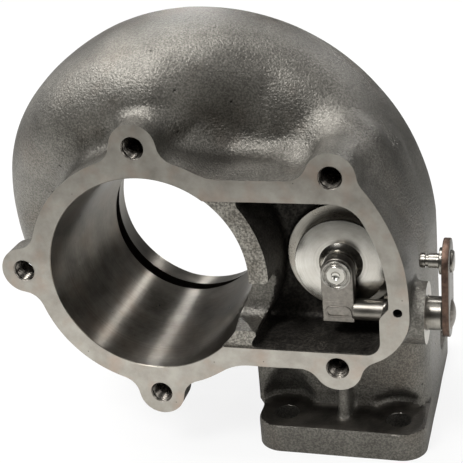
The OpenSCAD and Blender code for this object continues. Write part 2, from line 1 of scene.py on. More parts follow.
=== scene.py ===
"""Looks of a cast iron turbine housing and its wastegate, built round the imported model.

Sizes are in millimetres until a mesh is made, and Blender's metres after that.
X runs right over the wastegate, Y from the outlet face into the housing, Z up.
"""

import math

import bpy
import numpy as np
from mathutils import Matrix, Vector


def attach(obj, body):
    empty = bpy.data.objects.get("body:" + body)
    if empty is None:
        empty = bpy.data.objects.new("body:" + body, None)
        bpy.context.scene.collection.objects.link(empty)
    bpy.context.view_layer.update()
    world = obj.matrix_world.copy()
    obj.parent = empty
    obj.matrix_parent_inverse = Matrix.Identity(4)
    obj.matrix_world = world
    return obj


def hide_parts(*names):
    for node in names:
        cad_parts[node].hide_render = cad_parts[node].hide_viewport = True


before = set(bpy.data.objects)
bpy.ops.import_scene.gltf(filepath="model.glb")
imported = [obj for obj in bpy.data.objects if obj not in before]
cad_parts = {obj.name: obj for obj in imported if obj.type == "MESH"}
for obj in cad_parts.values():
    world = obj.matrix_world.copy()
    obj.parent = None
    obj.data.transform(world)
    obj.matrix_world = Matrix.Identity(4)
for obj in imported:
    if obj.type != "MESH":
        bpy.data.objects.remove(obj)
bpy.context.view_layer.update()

MM = 0.001

# Well past the part on every side
FAR = 160.0

# Outlet face
RIM_R = 52.4
BORE_R = 43.6
EAR_R = 10.2
HOLLOW_R = 9.0
EDGE_HOLLOW_R = 20.0
RIM_BOLTS = [(0.0, 56.4), (-56.4, 0.0), (0.0, -56.4)]
UPPER_BOLT = (79.7, 45.2)
LOWER_BOLT = (78.7, -38.9)
TAPPED_HOLES = list(zip(RIM_BOLTS + [UPPER_BOLT, LOWER_BOLT], (24.0, 15.5, 15.5, 22.5, 21.0)))
THREAD_R = 4.25
THREAD_MOUTH_R = 4.95
THREAD_PITCH = 1.5
TOP_Z = 43.5
BOTTOM_Z = -40.2
SIDE_X = 108.8
SIDE_Z = -8.0
SIDE_ARC_R = 79.0
SIDE_CORNER_R = 24.5
SIDE_ARC = (SIDE_X - SIDE_ARC_R, SIDE_Z)
SIDE_CORNER = (SIDE_X - SIDE_CORNER_R, SIDE_Z - 5.0)

# Wastegate pocket
POCKET_DEPTH = 32.0
POCKET_TOP = 34.3
POCKET_FOOT = -32.0
POCKET_ARC_R = 70.8
BOSS_IN_X = 96.7
DIVIDER_R = 51.6
BAND_DROP = 1.2
VALVE = (77.8, -1.4)
SHAFT_Y = 15.0
SHAFT_Z = -18.8
SHAFT = (SHAFT_Y, SHAFT_Z)
FOOT_Y = 11.9
SEAT_Y = 26.9
RING_Y = 29.3
RING_R = 24.2
LOCK_PIN = (104.2, -12.0)
LOCK_PIN_R = 1.8

# Scroll and inlet
SCROLL_Y = 64.0
SCROLL_START_R = 111.7
SCROLL_END_R = 77.0
SCROLL_SWEEP = 300.0
SCROLL_IN_R = 40.0
SCROLL_LAST = 308.0
FRONT_BULGE = 22.0
EAR_BULGE = 18.0
SCROLL_POWER = 1.55
PASSAGE_LAST = 272.0
PASSAGE_POINTS = 48
WALL = 6.0
SKIN_IN = 0.3
HALF_DEPTH = 35.0
FIRST_HALF = (SCROLL_START_R - SCROLL_IN_R) / 2
NECK_X = SCROLL_START_R - FIRST_HALF
NECK_POWER = 3.6
INLET_X = 75.0
INLET_HALF = (37.35, 53.85)
INLET_FACE_Z = -89.0
INLET_TOP_Z = -75.6
PLATE_MIDDLE_Z = -84.0
PORT_TOP_Z = -82.3
PORT_HALF = (22.0, 28.5)
INLET_BOLTS = [(x, y) for x in (50.0, 100.0) for y in (22.0, 106.0)]
BOLT_HOLE_R = 5.5
BOSS_FACE_X = 114.3
BOSS_R = 13.0

# Back face
BACK_Y = 96.0
BACK_R = 62.0
BACK_BOLT_R = 55.0

# Valve gear
SHAFT_R = 4.5
BUSHING_R = 7.0
LEVER_IN_X = 120.9
LEVER_OUT_X = 123.9
CRANK_PIN_Z = 4.8
WASHER_IN_Y = 11.7
WASHER_OUT_Y = 10.1
WELD_R = 6.4
WELD_HEIGHT = 1.8

# Camera
PHOTO_SIDE = 463
SENSOR = 36.0


# Meshes

def mesh_piece(name, verts, faces, materials=(), smooth_angle=35.0):
    """Object at the origin from vertices in millimetres."""
    mesh = bpy.data.meshes.new(name)
    mesh.from_pydata((np.asarray(verts, float) * MM).tolist(), [], [list(f) for f in faces])
    mesh.update()
    for material in materials:
        mesh.materials.append(material)
    shade(mesh, smooth_angle)
    piece = bpy.data.objects.new(name, mesh)
    bpy.context.scene.collection.objects.link(piece)
    return piece


def shade(mesh, angle):
    """Smooth shading, with edges sharper than angle, in degrees, left crisp."""
    mesh.polygons.foreach_set("use_smooth", np.ones(len(mesh.polygons), bool))
    mesh.set_sharp_from_angle(angle=math.radians(angle))
    mesh.update()


def face_places(mesh):
    """Middle of each face in millimetres, and its normal."""
    count = len(mesh.polygons)
    centre = np.empty(count * 3, np.float32)
    normal = np.empty(count * 3, np.float32)
    mesh.polygons.foreach_get("center", centre)
    mesh.polygons.foreach_get("normal", normal)
    return centre.reshape(-1, 3) / MM, normal.reshape(-1, 3)


def give_finishes(mesh, finishes, marks):
    """Gives the mesh its finishes. marks holds the number of each face's finish."""
    mesh.materials.clear()
    for finish in finishes:
        mesh.materials.append(finish)
    mesh.polygons.foreach_set("material_index", np.asarray(marks, np.int32))
    shade(mesh, 32.0)


def ring_faces(rows, count, closed=False):
    """Four-sided faces between neighbouring rings of points."""
    i, k = np.meshgrid(np.arange(rows if closed else rows - 1), np.arange(count), indexing="ij")
    j = (i + 1) % rows
    m = (k + 1) % count
    quads = np.stack([i * count + k, j * count + k, j * count + m, i * count + m], -1)
    return quads.reshape(-1, 4).tolist()


def place(along, radial_a, radial_b, axis, centre):
    """Points from a place along the axis and two places across it, round a centre."""
    if axis == "x":
        return np.stack([along, radial_a + centre[0], radial_b + centre[1]], -1)
    return np.stack([radial_a + centre[0], along, radial_b + centre[1]], -1)


def lathe(profile, axis, centre, count=96, wobble=None):
    """Surface of revolution: profile point (r, s) goes to s along the axis and r (cos t, sin t) across it.

    The profile is a closed loop, or runs from one point on the axis to another.
    wobble(t, r, s) may add a small amount to r.
    """
    profile = np.asarray(profile, float)
    poles = profile[0, 0] == 0 and profile[-1, 0] == 0
    rows = profile[1:-1] if poles else profile
    t = np.arange(count) * 2 * np.pi / count
    r = np.repeat(rows[:, :1], count, 1)
    s = np.repeat(rows[:, 1:], count, 1)
    if wobble is not None:
        r = r + wobble(t[None, :], r, s)
    verts = place(s, r * np.cos(t), r * np.sin(t), axis, centre).reshape(-1, 3)
    faces = ring_faces(len(rows), count, not poles)
    if poles:
        start, end = len(verts), len(verts) + 1
        last = start - count
        ends = place(profile[[0, -1], 1], np.zeros(2), np.zeros(2), axis, centre)
        verts = np.concatenate([verts, ends])
        faces += [[start, k, (k + 1) % count] for k in range(count)]
        faces += [[end, last + (k + 1) % count, last + k] for k in range(count)]
    return outward(verts, faces)


def outward(verts, faces):
    """The same surface with its faces turned outwards, judged by the signed volume."""
    volume = 0.0
    for size in {len(f) for f in faces}:
        group = np.array([f for f in faces if len(f) == size])
        for c in range(1, size - 1):
            a, b, d = verts[group[:, 0]], verts[group[:, c]], verts[group[:, c + 1]]
            volume += np.einsum("ij,ij->i", a, np.cross(b, d)).sum()
    return verts, faces if volume > 0 else [f[::-1] for f in faces]


def prism(outline, low, high, axis, bevel=0.0, steps=3):
    """Outline carried along an axis, with its ends rounded by a quarter circle of radius bevel.

    Each ring is moved in by bevel (1 - sin a) and lies bevel (1 - cos a) from the end.
    """
    outline = np.asarray(outline, float)
    before, after = np.roll(outline, 1, 0), np.roll(outline, -1, 0)
    tangent = after - before
    tangent /= np.linalg.norm(tangent, axis=1)[:, None]
    area = 0.5 * np.sum(outline[:, 0] * after[:, 1] - after[:, 0] * outline[:, 1])
    inward = np.stack([-tangent[:, 1], tangent[:, 0]], 1) * np.sign(area)
    levels = [(0.0, 0.0)]
    if bevel > 0:
        angles = np.linspace(0, np.pi / 2, steps + 1)
        levels = [(bevel * (1 - math.sin(a)), bevel * (1 - math.cos(a))) for a in angles]
    rings = []
    for move, s in [(m, low + d) for m, d in levels] + [(m, high - d) for m, d in levels[::-1]]:
        flat = outline + inward * move
        rings.append(place(np.full(len(flat), s), flat[:, 0], flat[:, 1], axis, (0, 0)))
    return loft(rings)


def loft(rings):
    """Closed skin over rings of points, with a flat face over each end."""
    rings = np.asarray(rings, float)
    n, count = rings.shape[:2]
    last = (n - 1) * count
    faces = ring_faces(n, count)
    faces += [list(range(count)), [last + v for v in range(count)][::-1]]
    return outward(rings.reshape(-1, 3), faces)


def block(low, high):
    """Box between two opposite corners."""
    corners = [(low[0], low[1]), (high[0], low[1]), (high[0], high[1]), (low[0], high[1])]
    return loft([[(x, y, z) for x, y in corners] for z in (low[2], high[2])])


def rod(r, low, high, axis, centre, count):
    """Plain cylinder for a bore or a shaft's room."""
    return lathe([(0.0, low), (r, low), (r, high), (0.0, high)], axis, centre, count)


def carve(target, shape, operation="DIFFERENCE"):
    """Cuts a closed shape out of the target's mesh, or adds it, as a machine tool or a core would."""
    tool = mesh_piece("tool", *shape)
    cut = target.modifiers.new("cut", "BOOLEAN")
    cut.solver = "MANIFOLD"
    cut.operation = operation
    cut.object = tool
    bpy.context.view_layer.update()
    seen = target.evaluated_get(bpy.context.evaluated_depsgraph_get())
    old, target.data = target.data, bpy.data.meshes.new_from_object(seen)
    target.modifiers.clear()
    bpy.data.meshes.remove(old)
    spent = tool.data
    bpy.data.objects.remove(tool)
    bpy.data.meshes.remove(spent)


# Outlines in the plane of the outlet face

def arc(centre, r, start, end, steps=12):
    """Points centre + r (cos a, sin a) for angles from start to end, in degrees."""
    a = np.radians(np.linspace(start, end, steps + 1))
    return np.asarray(centre, float) + r * np.stack([np.cos(a), np.sin(a)], 1)


def turn(centre, r, p, q, way):
    """Arc about a centre from the side that faces p to the side that faces q."""
    start = math.degrees(math.atan2(p[1] - centre[1], p[0] - centre[0]))
    end = math.degrees(math.atan2(q[1] - centre[1], q[0] - centre[0]))
    span = (end - start) % 360 if way > 0 else -((start - end) % 360)
    return arc(centre, r, start, start + span, max(2, math.ceil(abs(span) / (3 if r > 30 else 8))))


def meet(c1, d1, c2, d2, side):
    """Place at distance d1 from c1 and d2 from c2, to one side of the line between them."""
    c1, c2 = np.asarray(c1, float), np.asarray(c2, float)
    v = c2 - c1
    d = np.linalg.norm(v)
    a = (d1 * d1 - d2 * d2 + d * d) / (2 * d)
    h = math.sqrt(max(0.0, d1 * d1 - a * a))
    return c1 + a * v / d + side * h * np.array([-v[1], v[0]]) / d


def edge_corner(c, r, edge, f, way, side):
    """Centre of the hollow corner of radius f between a circle and a level edge."""
    z = edge + way * f
    return np.array([c[0] + side * math.sqrt((r + f) ** 2 - (z - c[1]) ** 2), z])


def rim_corner(ear, side):
    """Centre of the hollow corner between the round rim and an ear."""
    return meet((0, 0), RIM_R + HOLLOW_R, ear, EAR_R + HOLLOW_R, side)


def flange_outline(lobes, upper, lower):
    """Outline of the outlet flange from its right-hand edge round to it again, with the named ears."""
    parts = []
    if upper:
        outer = meet(SIDE_ARC, SIDE_ARC_R + HOLLOW_R, UPPER_BOLT, EAR_R + HOLLOW_R, -1)
        inner = edge_corner(UPPER_BOLT, EAR_R, TOP_Z, HOLLOW_R, 1, -1)
        parts += [
            turn(SIDE_ARC, SIDE_ARC_R, (SIDE_X, SIDE_Z), outer, 1),
            turn(outer, HOLLOW_R, SIDE_ARC, UPPER_BOLT, -1),
            turn(UPPER_BOLT, EAR_R, outer, inner, 1),
            turn(inner, HOLLOW_R, UPPER_BOLT, (inner[0], TOP_Z), -1),
        ]
    else:
        parts += [arc(SIDE_ARC, SIDE_ARC_R, 0, 34), [[UPPER_BOLT[0], TOP_Z]]]
    top = edge_corner((0, 0), RIM_R, TOP_Z, EDGE_HOLLOW_R, 1, 1)
    bottom = edge_corner((0, 0), RIM_R, BOTTOM_Z, EDGE_HOLLOW_R, -1, 1)
    starts = [top] + [rim_corner(p, 1) for p in lobes]
    ends = [rim_corner(p, -1) for p in lobes] + [bottom]
    parts.append(turn(top, EDGE_HOLLOW_R, (top[0], TOP_Z), (0, 0), -1))
    for i, (start, end) in enumerate(zip(starts, ends)):
        parts.append(turn((0, 0), RIM_R, start, end, 1))
        if i < len(lobes):
            ear = lobes[i]
            parts.append(turn(rim_corner(ear, -1), HOLLOW_R, (0, 0), ear, -1))
            parts.append(turn(ear, EAR_R, rim_corner(ear, -1), rim_corner(ear, 1), 1))
            parts.append(turn(rim_corner(ear, 1), HOLLOW_R, ear, (0, 0), -1))
    parts.append(turn(bottom, EDGE_HOLLOW_R, (0, 0), (bottom[0], BOTTOM_Z), -1))
    if lower:
        inner = edge_corner(LOWER_BOLT, EAR_R, BOTTOM_Z, HOLLOW_R, -1, -1)
        outer = meet(SIDE_CORNER, SIDE_CORNER_R + HOLLOW_R, LOWER_BOLT, EAR_R + HOLLOW_R, 1)
        parts += [
            turn(inner, HOLLOW_R, (inner[0], BOTTOM_Z), LOWER_BOLT, -1),
            turn(LOWER_BOLT, EAR_R, inner, outer, 1),
            turn(outer, HOLLOW_R, LOWER_BOLT, SIDE_CORNER, -1),
            turn(SIDE_CORNER, SIDE_CORNER_R, outer, (SIDE_X, SIDE_CORNER[1]), 1),
        ]
    else:
        parts += [[[LOWER_BOLT[0], BOTTOM_Z]], arc(SIDE_CORNER, SIDE_CORNER_R, -80, 0)]
    return no_twins(np.concatenate([np.asarray(p, float) for p in parts]))


def no_twins(points):
    """The outline without points that lie on the next one."""
    return points[np.linalg.norm(points - np.roll(points, -1, 0), axis=1) > 0.02]


def pocket_outline():
    """Mouth of the wastegate pocket, from the turbine axis to its right-hand wall."""
    corner_r, foot_r = 14.0, 6.0
    reach = POCKET_ARC_R - corner_r
    angle = math.degrees(math.asin((POCKET_TOP - corner_r - SIDE_Z) / reach))
    corner = arc(SIDE_ARC, reach, angle, angle, 1)[0]
    foot = (BOSS_IN_X - foot_r, POCKET_FOOT + foot_r)
    return no_twins(np.concatenate([
        [[0.0, POCKET_FOOT]],
        arc(foot, foot_r, -90, 0),
        [[BOSS_IN_X, SIDE_Z - 7.0]],
        arc(SIDE_ARC, POCKET_ARC_R, -2, angle, 16),
        arc(corner, corner_r, angle, 90),
        [[0.0, POCKET_TOP]],
    ]))


# Distances, negative inside

def outline_distance(outline, x, z):
    """Signed distance in the plane: the least distance to a side.

    It is negative where a ray to the right crosses an odd number of sides.
    """
    p, q = outline, np.roll(outline, -1, 0)
    px, pz = x.reshape(-1, 1), z.reshape(-1, 1)
    ex, ez = (q - p)[:, 0], (q - p)[:, 1]
    best = np.full(px.shape[0], 1e9, np.float32)
    odd = np.zeros(px.shape[0], bool)
    for first in range(0, len(p), 48):
        part = slice(first, first + 48)
        dx, dz = px - p[part, 0], pz - p[part, 1]
        length = ex[part] ** 2 + ez[part] ** 2
        t = np.clip((dx * ex[part] + dz * ez[part]) / length, 0, 1)
        gap = np.hypot(dx - t * ex[part], dz - t * ez[part]).min(1)
        best = np.minimum(best, gap)
        spans = (p[part, 1] > pz) != (q[part, 1] > pz)
        rise = np.where(np.abs(ez[part]) < 1e-9, 1e-9, ez[part])
        hits = px < p[part, 0] + dz * ex[part] / rise
        odd ^= (np.count_nonzero(spans & hits, axis=1) % 2).astype(bool)
    return np.where(odd, -best, best).reshape(x.shape).astype(np.float32)


def both(a, b, r=0.0):
    """Inside both shapes, with the edge between them rounded to radius r."""
    if np.isscalar(r) and r == 0.0:
        return np.maximum(a, b)
    return np.minimum(-r, np.maximum(a, b)) + np.hypot(np.maximum(r + a, 0), np.maximum(r + b, 0))


def either(a, b, r=0.0):
    """Inside one shape or the other, with the corner between them filled to radius r."""
    return -both(-a, -b, r)


def scroll_r(angle):
    """Outer radius of the scroll: end + (start - end) (1 - angle / sweep) to the scroll's power."""
    share = np.clip(1 - angle / SCROLL_SWEEP, 0, 1)
    return SCROLL_END_R + (SCROLL_START_R - SCROLL_END_R) * share ** SCROLL_POWER


def soft_step(value, low, high):
    """Soft step t t (3 - 2 t) from 0 at low to 1 at high."""
    t = np.clip((value - low) / (high - low), 0, 1)
    return t * t * (3 - 2 * t)


def bulge(angle):
    """How far the scroll's front bulges forward: at the upper left, and beside the upper right ear."""
    left = soft_step(angle, 55, 90) * (1 - soft_step(angle, 120, 180))
    right = soft_step(angle, 0, 22) * (1 - soft_step(angle, 22, 44))
    return FRONT_BULGE * left + EAR_BULGE * right


def section(angle):
    """Centre radius, half width, half depth and squareness of the scroll at an angle."""
    a = (scroll_r(angle) - SCROLL_IN_R) / 2
    b = a + (HALF_DEPTH - FIRST_HALF) * np.clip(1 - angle / 90, 0, 1)
    return scroll_r(angle) - a, a, b, 2.3 + 1.3 * np.clip(1 - angle / 80, 0, 1)


def neck_section(z):
    """Centre, half width, half depth and squareness of the upright neck at a height below the axis."""
    share = np.clip(z / (INLET_TOP_Z - 4.0), 0, 1)
    centre = NECK_X * (1 - share) + INLET_X * share
    half = FIRST_HALF * (1 - share) + 37.2 * share
    return centre, half, HALF_DEPTH + 0 * share, NECK_POWER + 1.6 * share


def rounded_section(u, v, a, b, power):
    """Distance to the curve |u/a|^n + |v/b|^n = 1, as its value's excess over its slope."""
    pu, pv = np.abs(u / a) + 1e-4, np.abs(v / b) + 1e-4
    q = (pu ** power + pv ** power) ** (1 / power)
    slope = q ** (1 - power) * np.hypot(pu ** (power - 1) / a, pv ** (power - 1) / b)
    return (q - 1) / slope


def scroll_distance(x, y, z):
    """Scroll and neck as one form. The scroll's small end runs into the neck with a soft corner."""
    r = np.hypot(x, z)
    angle = np.degrees(np.arctan2(z, x)) % 360
    centre, a, b, power = section(np.minimum(angle, SCROLL_LAST))
    depth = np.where(y < SCROLL_Y, b + bulge(angle), b)
    scroll = rounded_section(r - centre, y - SCROLL_Y, a, depth, power)
    past_end = r * np.sin(np.radians(np.clip(angle - SCROLL_LAST, -90, 52)))
    scroll = both(scroll, past_end + 0 * scroll, 5.0)
    neck_centre, neck_a, neck_b, neck_power = neck_section(z)
    neck = rounded_section(x - neck_centre, y - SCROLL_Y, neck_a, neck_b, neck_power)
    neck = np.where(z >= 0, scroll, neck)
    return np.where(z >= 0, scroll, either(scroll, neck, 6.0))


def box_distance(x, y, centre, half, corner_r):
    """Distance to a rectangle with round corners."""
    dx = np.abs(x - centre[0]) - (half[0] - corner_r)
    dy = np.abs(y - centre[1]) - (half[1] - corner_r)
    return np.hypot(np.maximum(dx, 0), np.maximum(dy, 0)) + np.minimum(np.maximum(dx, dy), 0) - corner_r


def flange_fillet(x, z):
    """Radius of the soft corner between flange and scroll: small below, wide beside the two upper ears."""
    upper = np.clip((z - 5.0) / 25.0, 0, 1)
    top_ear = np.exp(-((x + 2.0) ** 2 + (z - 74.0) ** 2) / 10.0 ** 2)
    shoulder = np.exp(-((x - 24.0) ** 2 + (z - 54.0) ** 2) / 14.0 ** 2)
    right_flank = np.exp(-((x - 101.0) ** 2 + (z - 50.0) ** 2) / 14.0 ** 2)
    return 4.0 + upper * (4.0 - 5.0 * top_ear + 9.0 * shoulder + 9.0 * right_flank)


def waviness(x, y, z):
    """Slow unevenness of a sand mould: a sum of a few sine waves 14 to 40 mm long, at odd angles."""
    rng = np.random.default_rng(7)
    total = 0.0
    for _ in range(9):
        k = rng.normal(size=3)
        k *= 2 * np.pi / rng.uniform(14, 40) / np.linalg.norm(k)
        total = total + np.sin(k[0] * x + k[1] * y + k[2] * z + rng.uniform(0, 6.28))
    return (total / 9).astype(np.float32)


def slab(value, middle, half):
    """Distance past either side of a flat slab."""
    return np.abs(value - middle) - half


def outlet_flange(x, y, z):
    """Outlet flange in steps: the deeper a step goes, the fewer ears it keeps."""
    steps = [
        (flange_outline(RIM_BOLTS, True, True), 13.0),
        (flange_outline(RIM_BOLTS[:1], True, True), 26.0),
        (flange_outline(RIM_BOLTS[:1], True, False), 35.0),
        (flange_outline([], False, False), 50.0),
    ]
    return np.minimum.reduce([both(outline_distance(o, x, z), y - depth, 2.0) for o, depth in steps])


def inlet_plate(x, y, z):
    """Inlet flange, cast deeper than its finished face."""
    plate = box_distance(x, y, (INLET_X, SCROLL_Y), INLET_HALF, 11.0)
    return both(plate, slab(z, PLATE_MIDDLE_Z, INLET_TOP_Z - PLATE_MIDDLE_Z), 1.8)


def bolt_room(x, y, z, hole):
    """Room for a bolt's head, sunk into the neck's foot. It leans further out at the right."""
    lift = z - (INLET_TOP_Z + 9.0)
    lean = 0.9 if hole[0] > INLET_X else 0.35
    room = np.hypot(x - hole[0], y - hole[1]) - 13.5 + lean * np.maximum(lift + 5.0, 0)
    return both(room, np.abs(lift) - 9.0, 4.0)


def pocket_room(x, y, z, r):
    """Wastegate pocket, which stops at the divider beside the bore."""
    mouth = outline_distance(pocket_outline(), x, z)
    return both(both(mouth, DIVIDER_R + 0.03 * y - r, 3.0), y - POCKET_DEPTH, 3.0)


def divider_slot(x, y, z):
    """Shallow hollow in the divider between the bore and the pocket."""
    slot = both(np.maximum(slab(x, 45.0, 14.0), -9.0 - y), slab(z, -13.35, 11.15), 0.3)
    return both(slot, y - 17.0, 5.5)


def casting_distance(x, y, z):
    """The rough casting: every cast form joined with soft corners, and its pocket and slot."""
    flat_x, flat_z = np.broadcast_arrays(x, z)
    r = np.hypot(x, z)
    flange = outlet_flange(flat_x, y, flat_z)
    body = either(scroll_distance(x, y, z) + SKIN_IN, flange, flange_fillet(flat_x, flat_z))
    body = either(body, both(r - (BACK_R - 5.0), slab(y, 62.0, 26.0), 1.0), 4.0)
    body = either(body, both(r - BACK_R, slab(y, 89.0, 9.0), 1.5), 4.0)
    boss = np.hypot(y - SHAFT_Y, z - SHAFT_Z) - BOSS_R
    body = either(body, np.maximum(boss, slab(x, 107.0, 9.0)), 2.5)
    plate_corner = np.clip((33.0 - np.abs(x - INLET_X)) / 8.0, 0.05, 1) * 4.0
    body = either(body, inlet_plate(x, y, z), plate_corner)
    flank = box_distance(x, y, (42.6, SCROLL_Y), (7.2, 35.8), 3.0)
    body = either(body, np.maximum(flank, slab(z, -56.0, 20.0)), 1.5)
    rib = np.hypot(x - 76.3, np.minimum(y - 20.8, 0)) - 2.8
    rib = np.maximum(rib, np.maximum(y - 40.0, slab(z, -62.0, 17.0)))
    body = either(body, rib, 2.5)
    for hole in INLET_BOLTS:
        body = both(body, -bolt_room(x, y, z, hole), 1.6)
    body = both(body, -pocket_room(flat_x, y, flat_z, r), 0.8)
    body = both(body, -divider_slot(x, y, z), 1.6)
    return (body + 0.16 * waviness(x, y, z)).astype(np.float32)


def net_surface(field, origin, step):
    """Surface where the field is zero: one point in each cell that it crosses, at the mean of the
    crossings on the cell's edges, and one face across each crossed edge."""
    inside = field < 0
    cells = tuple(n - 1 for n in field.shape)
    count = np.zeros(cells, np.float32)
    place_sum = [np.zeros(cells, np.float32) for _ in range(3)]
    crossings = []
    for axis in range(3):
        low = [slice(None)] * 3
        high = [slice(None)] * 3
        low[axis], high[axis] = slice(None, -1), slice(1, None)
        a, b = field[tuple(low)], field[tuple(high)]
        crossed = inside[tuple(low)] != inside[tuple(high)]
        share = np.where(crossed, a / np.where(crossed, a - b, 1), 0).astype(np.float32)
        crossings.append(crossed)
        others = [v for v in range(3) if v != axis]
        for i in (0, 1):
            for j in (0, 1):
                part = [slice(None)] * 3
                for other, offset in zip(others, (i, j)):
                    part[other] = slice(offset, offset + cells[other])
                hit = crossed[tuple(part)]
                count += hit
                place_sum[axis] += share[tuple(part)]
                place_sum[others[0]] += hit * i
                place_sum[others[1]] += hit * j
    used = count > 0
    number = np.full(cells, -1, np.int64)
    number[used] = np.arange(np.count_nonzero(used))
    corner = np.argwhere(used)
    offset = np.stack([s[used] / count[used] for s in place_sum], 1)
    verts = np.asarray(origin) + (corner + offset) * step
    faces = []
    for axis in range(3):
        crossed = crossings[axis]
        others = [(axis + 1) % 3, (axis + 2) % 3]
        at = np.argwhere(crossed)
        keep = np.all([(at[:, o] > 0) & (at[:, o] < cells[o]) for o in others], 0)
        at = at[keep]
        quad = []
        for i, j in ((0, 0), (1, 0), (1, 1), (0, 1)):
            cell = at.copy()
            cell[:, others[0]] -= 1 - i
            cell[:, others[1]] -= 1 - j
            quad.append(number[tuple(cell.T)])
        quad = np.stack(quad, 1)
        starts_inside = inside[tuple(at.T)]
        quad[~starts_inside] = quad[~starts_inside][:, ::-1]
        faces.append(quad)
    return verts, np.concatenate(faces)


def settle(verts, field, origin, step, rounds=2):
    """Moves each point onto the surface: p - d g / |g|^2, with d and its slope g read off the grid."""
    shape = np.array(field.shape)
    for _ in range(rounds):
        g = (verts - origin) / step
        i = np.clip(np.floor(g).astype(int), 0, shape - 2)
        f = g - i
        corners = {}
        for a in (0, 1):
            for b in (0, 1):
                for c in (0, 1):
                    corners[a, b, c] = field[i[:, 0] + a, i[:, 1] + b, i[:, 2] + c]
        weight = [(1 - f[:, k], f[:, k]) for k in range(3)]
        d = 0.0
        slope = [0.0, 0.0, 0.0]
        for (a, b, c), value in corners.items():
            d = d + value * weight[0][a] * weight[1][b] * weight[2][c]
            slope[0] = slope[0] + value * (2 * a - 1) * weight[1][b] * weight[2][c]
            slope[1] = slope[1] + value * (2 * b - 1) * weight[0][a] * weight[2][c]
            slope[2] = slope[2] + value * (2 * c - 1) * weight[0][a] * weight[1][b]
        slope = np.stack(slope, 1) / step
        size = np.maximum((slope ** 2).sum(1), 0.25)
        move = np.clip(d / size, -0.4 * step, 0.4 * step)
        verts = verts - slope * move[:, None]
    return verts


def rough_casting(step):
    """Mesh of the rough casting, a little proud of each face that is machined."""
    low = np.array([-93.0, -2.5, -92.0])
    high = np.array([118.0, 121.0, 102.0])
    counts = np.ceil((high - low) / step).astype(int) + 1
    x = (low[0] + np.arange(counts[0]) * step).astype(np.float32)[:, None, None]
    y = (low[1] + np.arange(counts[1]) * step).astype(np.float32)[None, :, None]
    z = (low[2] + np.arange(counts[2]) * step).astype(np.float32)[None, None, :]
    field = casting_distance(x, y, z)
    edge = np.ones(field.shape, bool)
    edge[1:-1, 1:-1, 1:-1] = False
    field[edge] = np.maximum(field[edge], 0.3 * step)
    verts, faces = net_surface(field, low, step)
    return settle(verts, field, low, step), faces


def oval(a, b, power):
    """Points of |u/a|^n + |v/b|^n = 1: u = a |cos t|^(2/n) and v = b |sin t|^(2/n), with their signs."""
    t = np.arange(PASSAGE_POINTS) * 2 * np.pi / PASSAGE_POINTS
    u = a * np.sign(np.cos(t)) * np.abs(np.cos(t)) ** (2 / power)
    v = b * np.sign(np.sin(t)) * np.abs(np.sin(t)) ** (2 / power)
    return u, v


def passage():
    """Gas passage: the inlet port, the neck and the scroll's sections moved in by the wall."""
    rings = []
    for z in np.linspace(-95, 0, 12)[:-1]:
        share = min(1.0, z / PORT_TOP_Z)
        a = (FIRST_HALF - WALL) * (1 - share) + PORT_HALF[0] * share
        b = (HALF_DEPTH - WALL) * (1 - share) + PORT_HALF[1] * share
        u, v = oval(a, b, NECK_POWER)
        centre = NECK_X * (1 - share) + INLET_X * share
        rings.append(np.stack([centre + u, SCROLL_Y + v, np.full(PASSAGE_POINTS, z)], 1))
    for angle in np.linspace(0, PASSAGE_LAST, 73):
        centre, a, b, power = section(np.array(angle))
        u, v = oval(a - WALL, b - WALL, power)
        way = math.radians(angle)
        r = centre + u
        rings.append(np.stack([r * math.cos(way), SCROLL_Y + v, r * math.sin(way)], 1))
    return loft(rings)


# Turned profile of the turbine bore as radius and depth
BORE_PROFILE = [
    (BORE_R + 0.85, -0.6), (BORE_R + 0.25, 0.0), (BORE_R - 0.03, 0.25), (36.15, 60.6), (51.0, 60.6),
    (51.0, 71.4), (38.6, 71.4), (41.4, 85.5), (47.0, 85.5), (47.0, 95.3), (48.3, 96.7),
]


def screw_cut(depth, centre):
    """Tapped hole along Y: its radius swings by the thread's depth once a pitch, along a helix."""
    thread = 0.54 * THREAD_PITCH
    flare = THREAD_MOUTH_R - THREAD_R

    def helix(t, radius, s):
        wave = np.abs(((s / THREAD_PITCH - t / (2 * np.pi)) % 1) - 0.5) * 2
        fade = np.clip((s - 0.6) / 0.8, 0, 1) * np.clip((depth - 1.5 - s) / 0.8, 0, 1)
        return thread * wave * fade

    rows = np.arange(-1.0, depth, THREAD_PITCH / 5)
    profile = [(0.0, -1.0)]
    profile += [(THREAD_R + max(0.0, flare - max(0.0, s)) * (s < flare), s) for s in rows]
    profile += [(THREAD_R * 0.5, depth + 0.6), (0.0, depth + 1.2)]
    return lathe(profile, "y", centre, 40, helix)


def cut_outlet_side(housing):
    """Mills the outlet face and the lower band round the pocket, and leaves the valve's seat standing."""
    carve(housing, block((-FAR, -FAR, -FAR), (FAR, 0.0, FAR)))
    carve(housing, block((-FAR, -FAR, -FAR), (FAR, FAR, INLET_FACE_Z)))
    carve(housing, block((BOSS_FACE_X, -FAR, -FAR), (FAR, FAR, FAR)))
    carve(housing, rod(BACK_R + 1.6, BACK_Y, 110.0, "y", (0, 0), 128))
    band = pocket_outline()
    band[band[:, 0] == 0, 0] = 20.0
    carve(housing, prism(band, -4.0, BAND_DROP, "y"))
    seat = [
        (10.0, SEAT_Y + 0.3), (15.8, SEAT_Y), (18.9, SEAT_Y), (19.2, SEAT_Y + 0.3), (19.2, RING_Y),
        (RING_R - 0.3, RING_Y), (RING_R, RING_Y + 0.3), (RING_R, 34.0), (10.0, 34.0),
    ]
    carve(housing, lathe(seat, "y", VALVE, 128), "UNION")


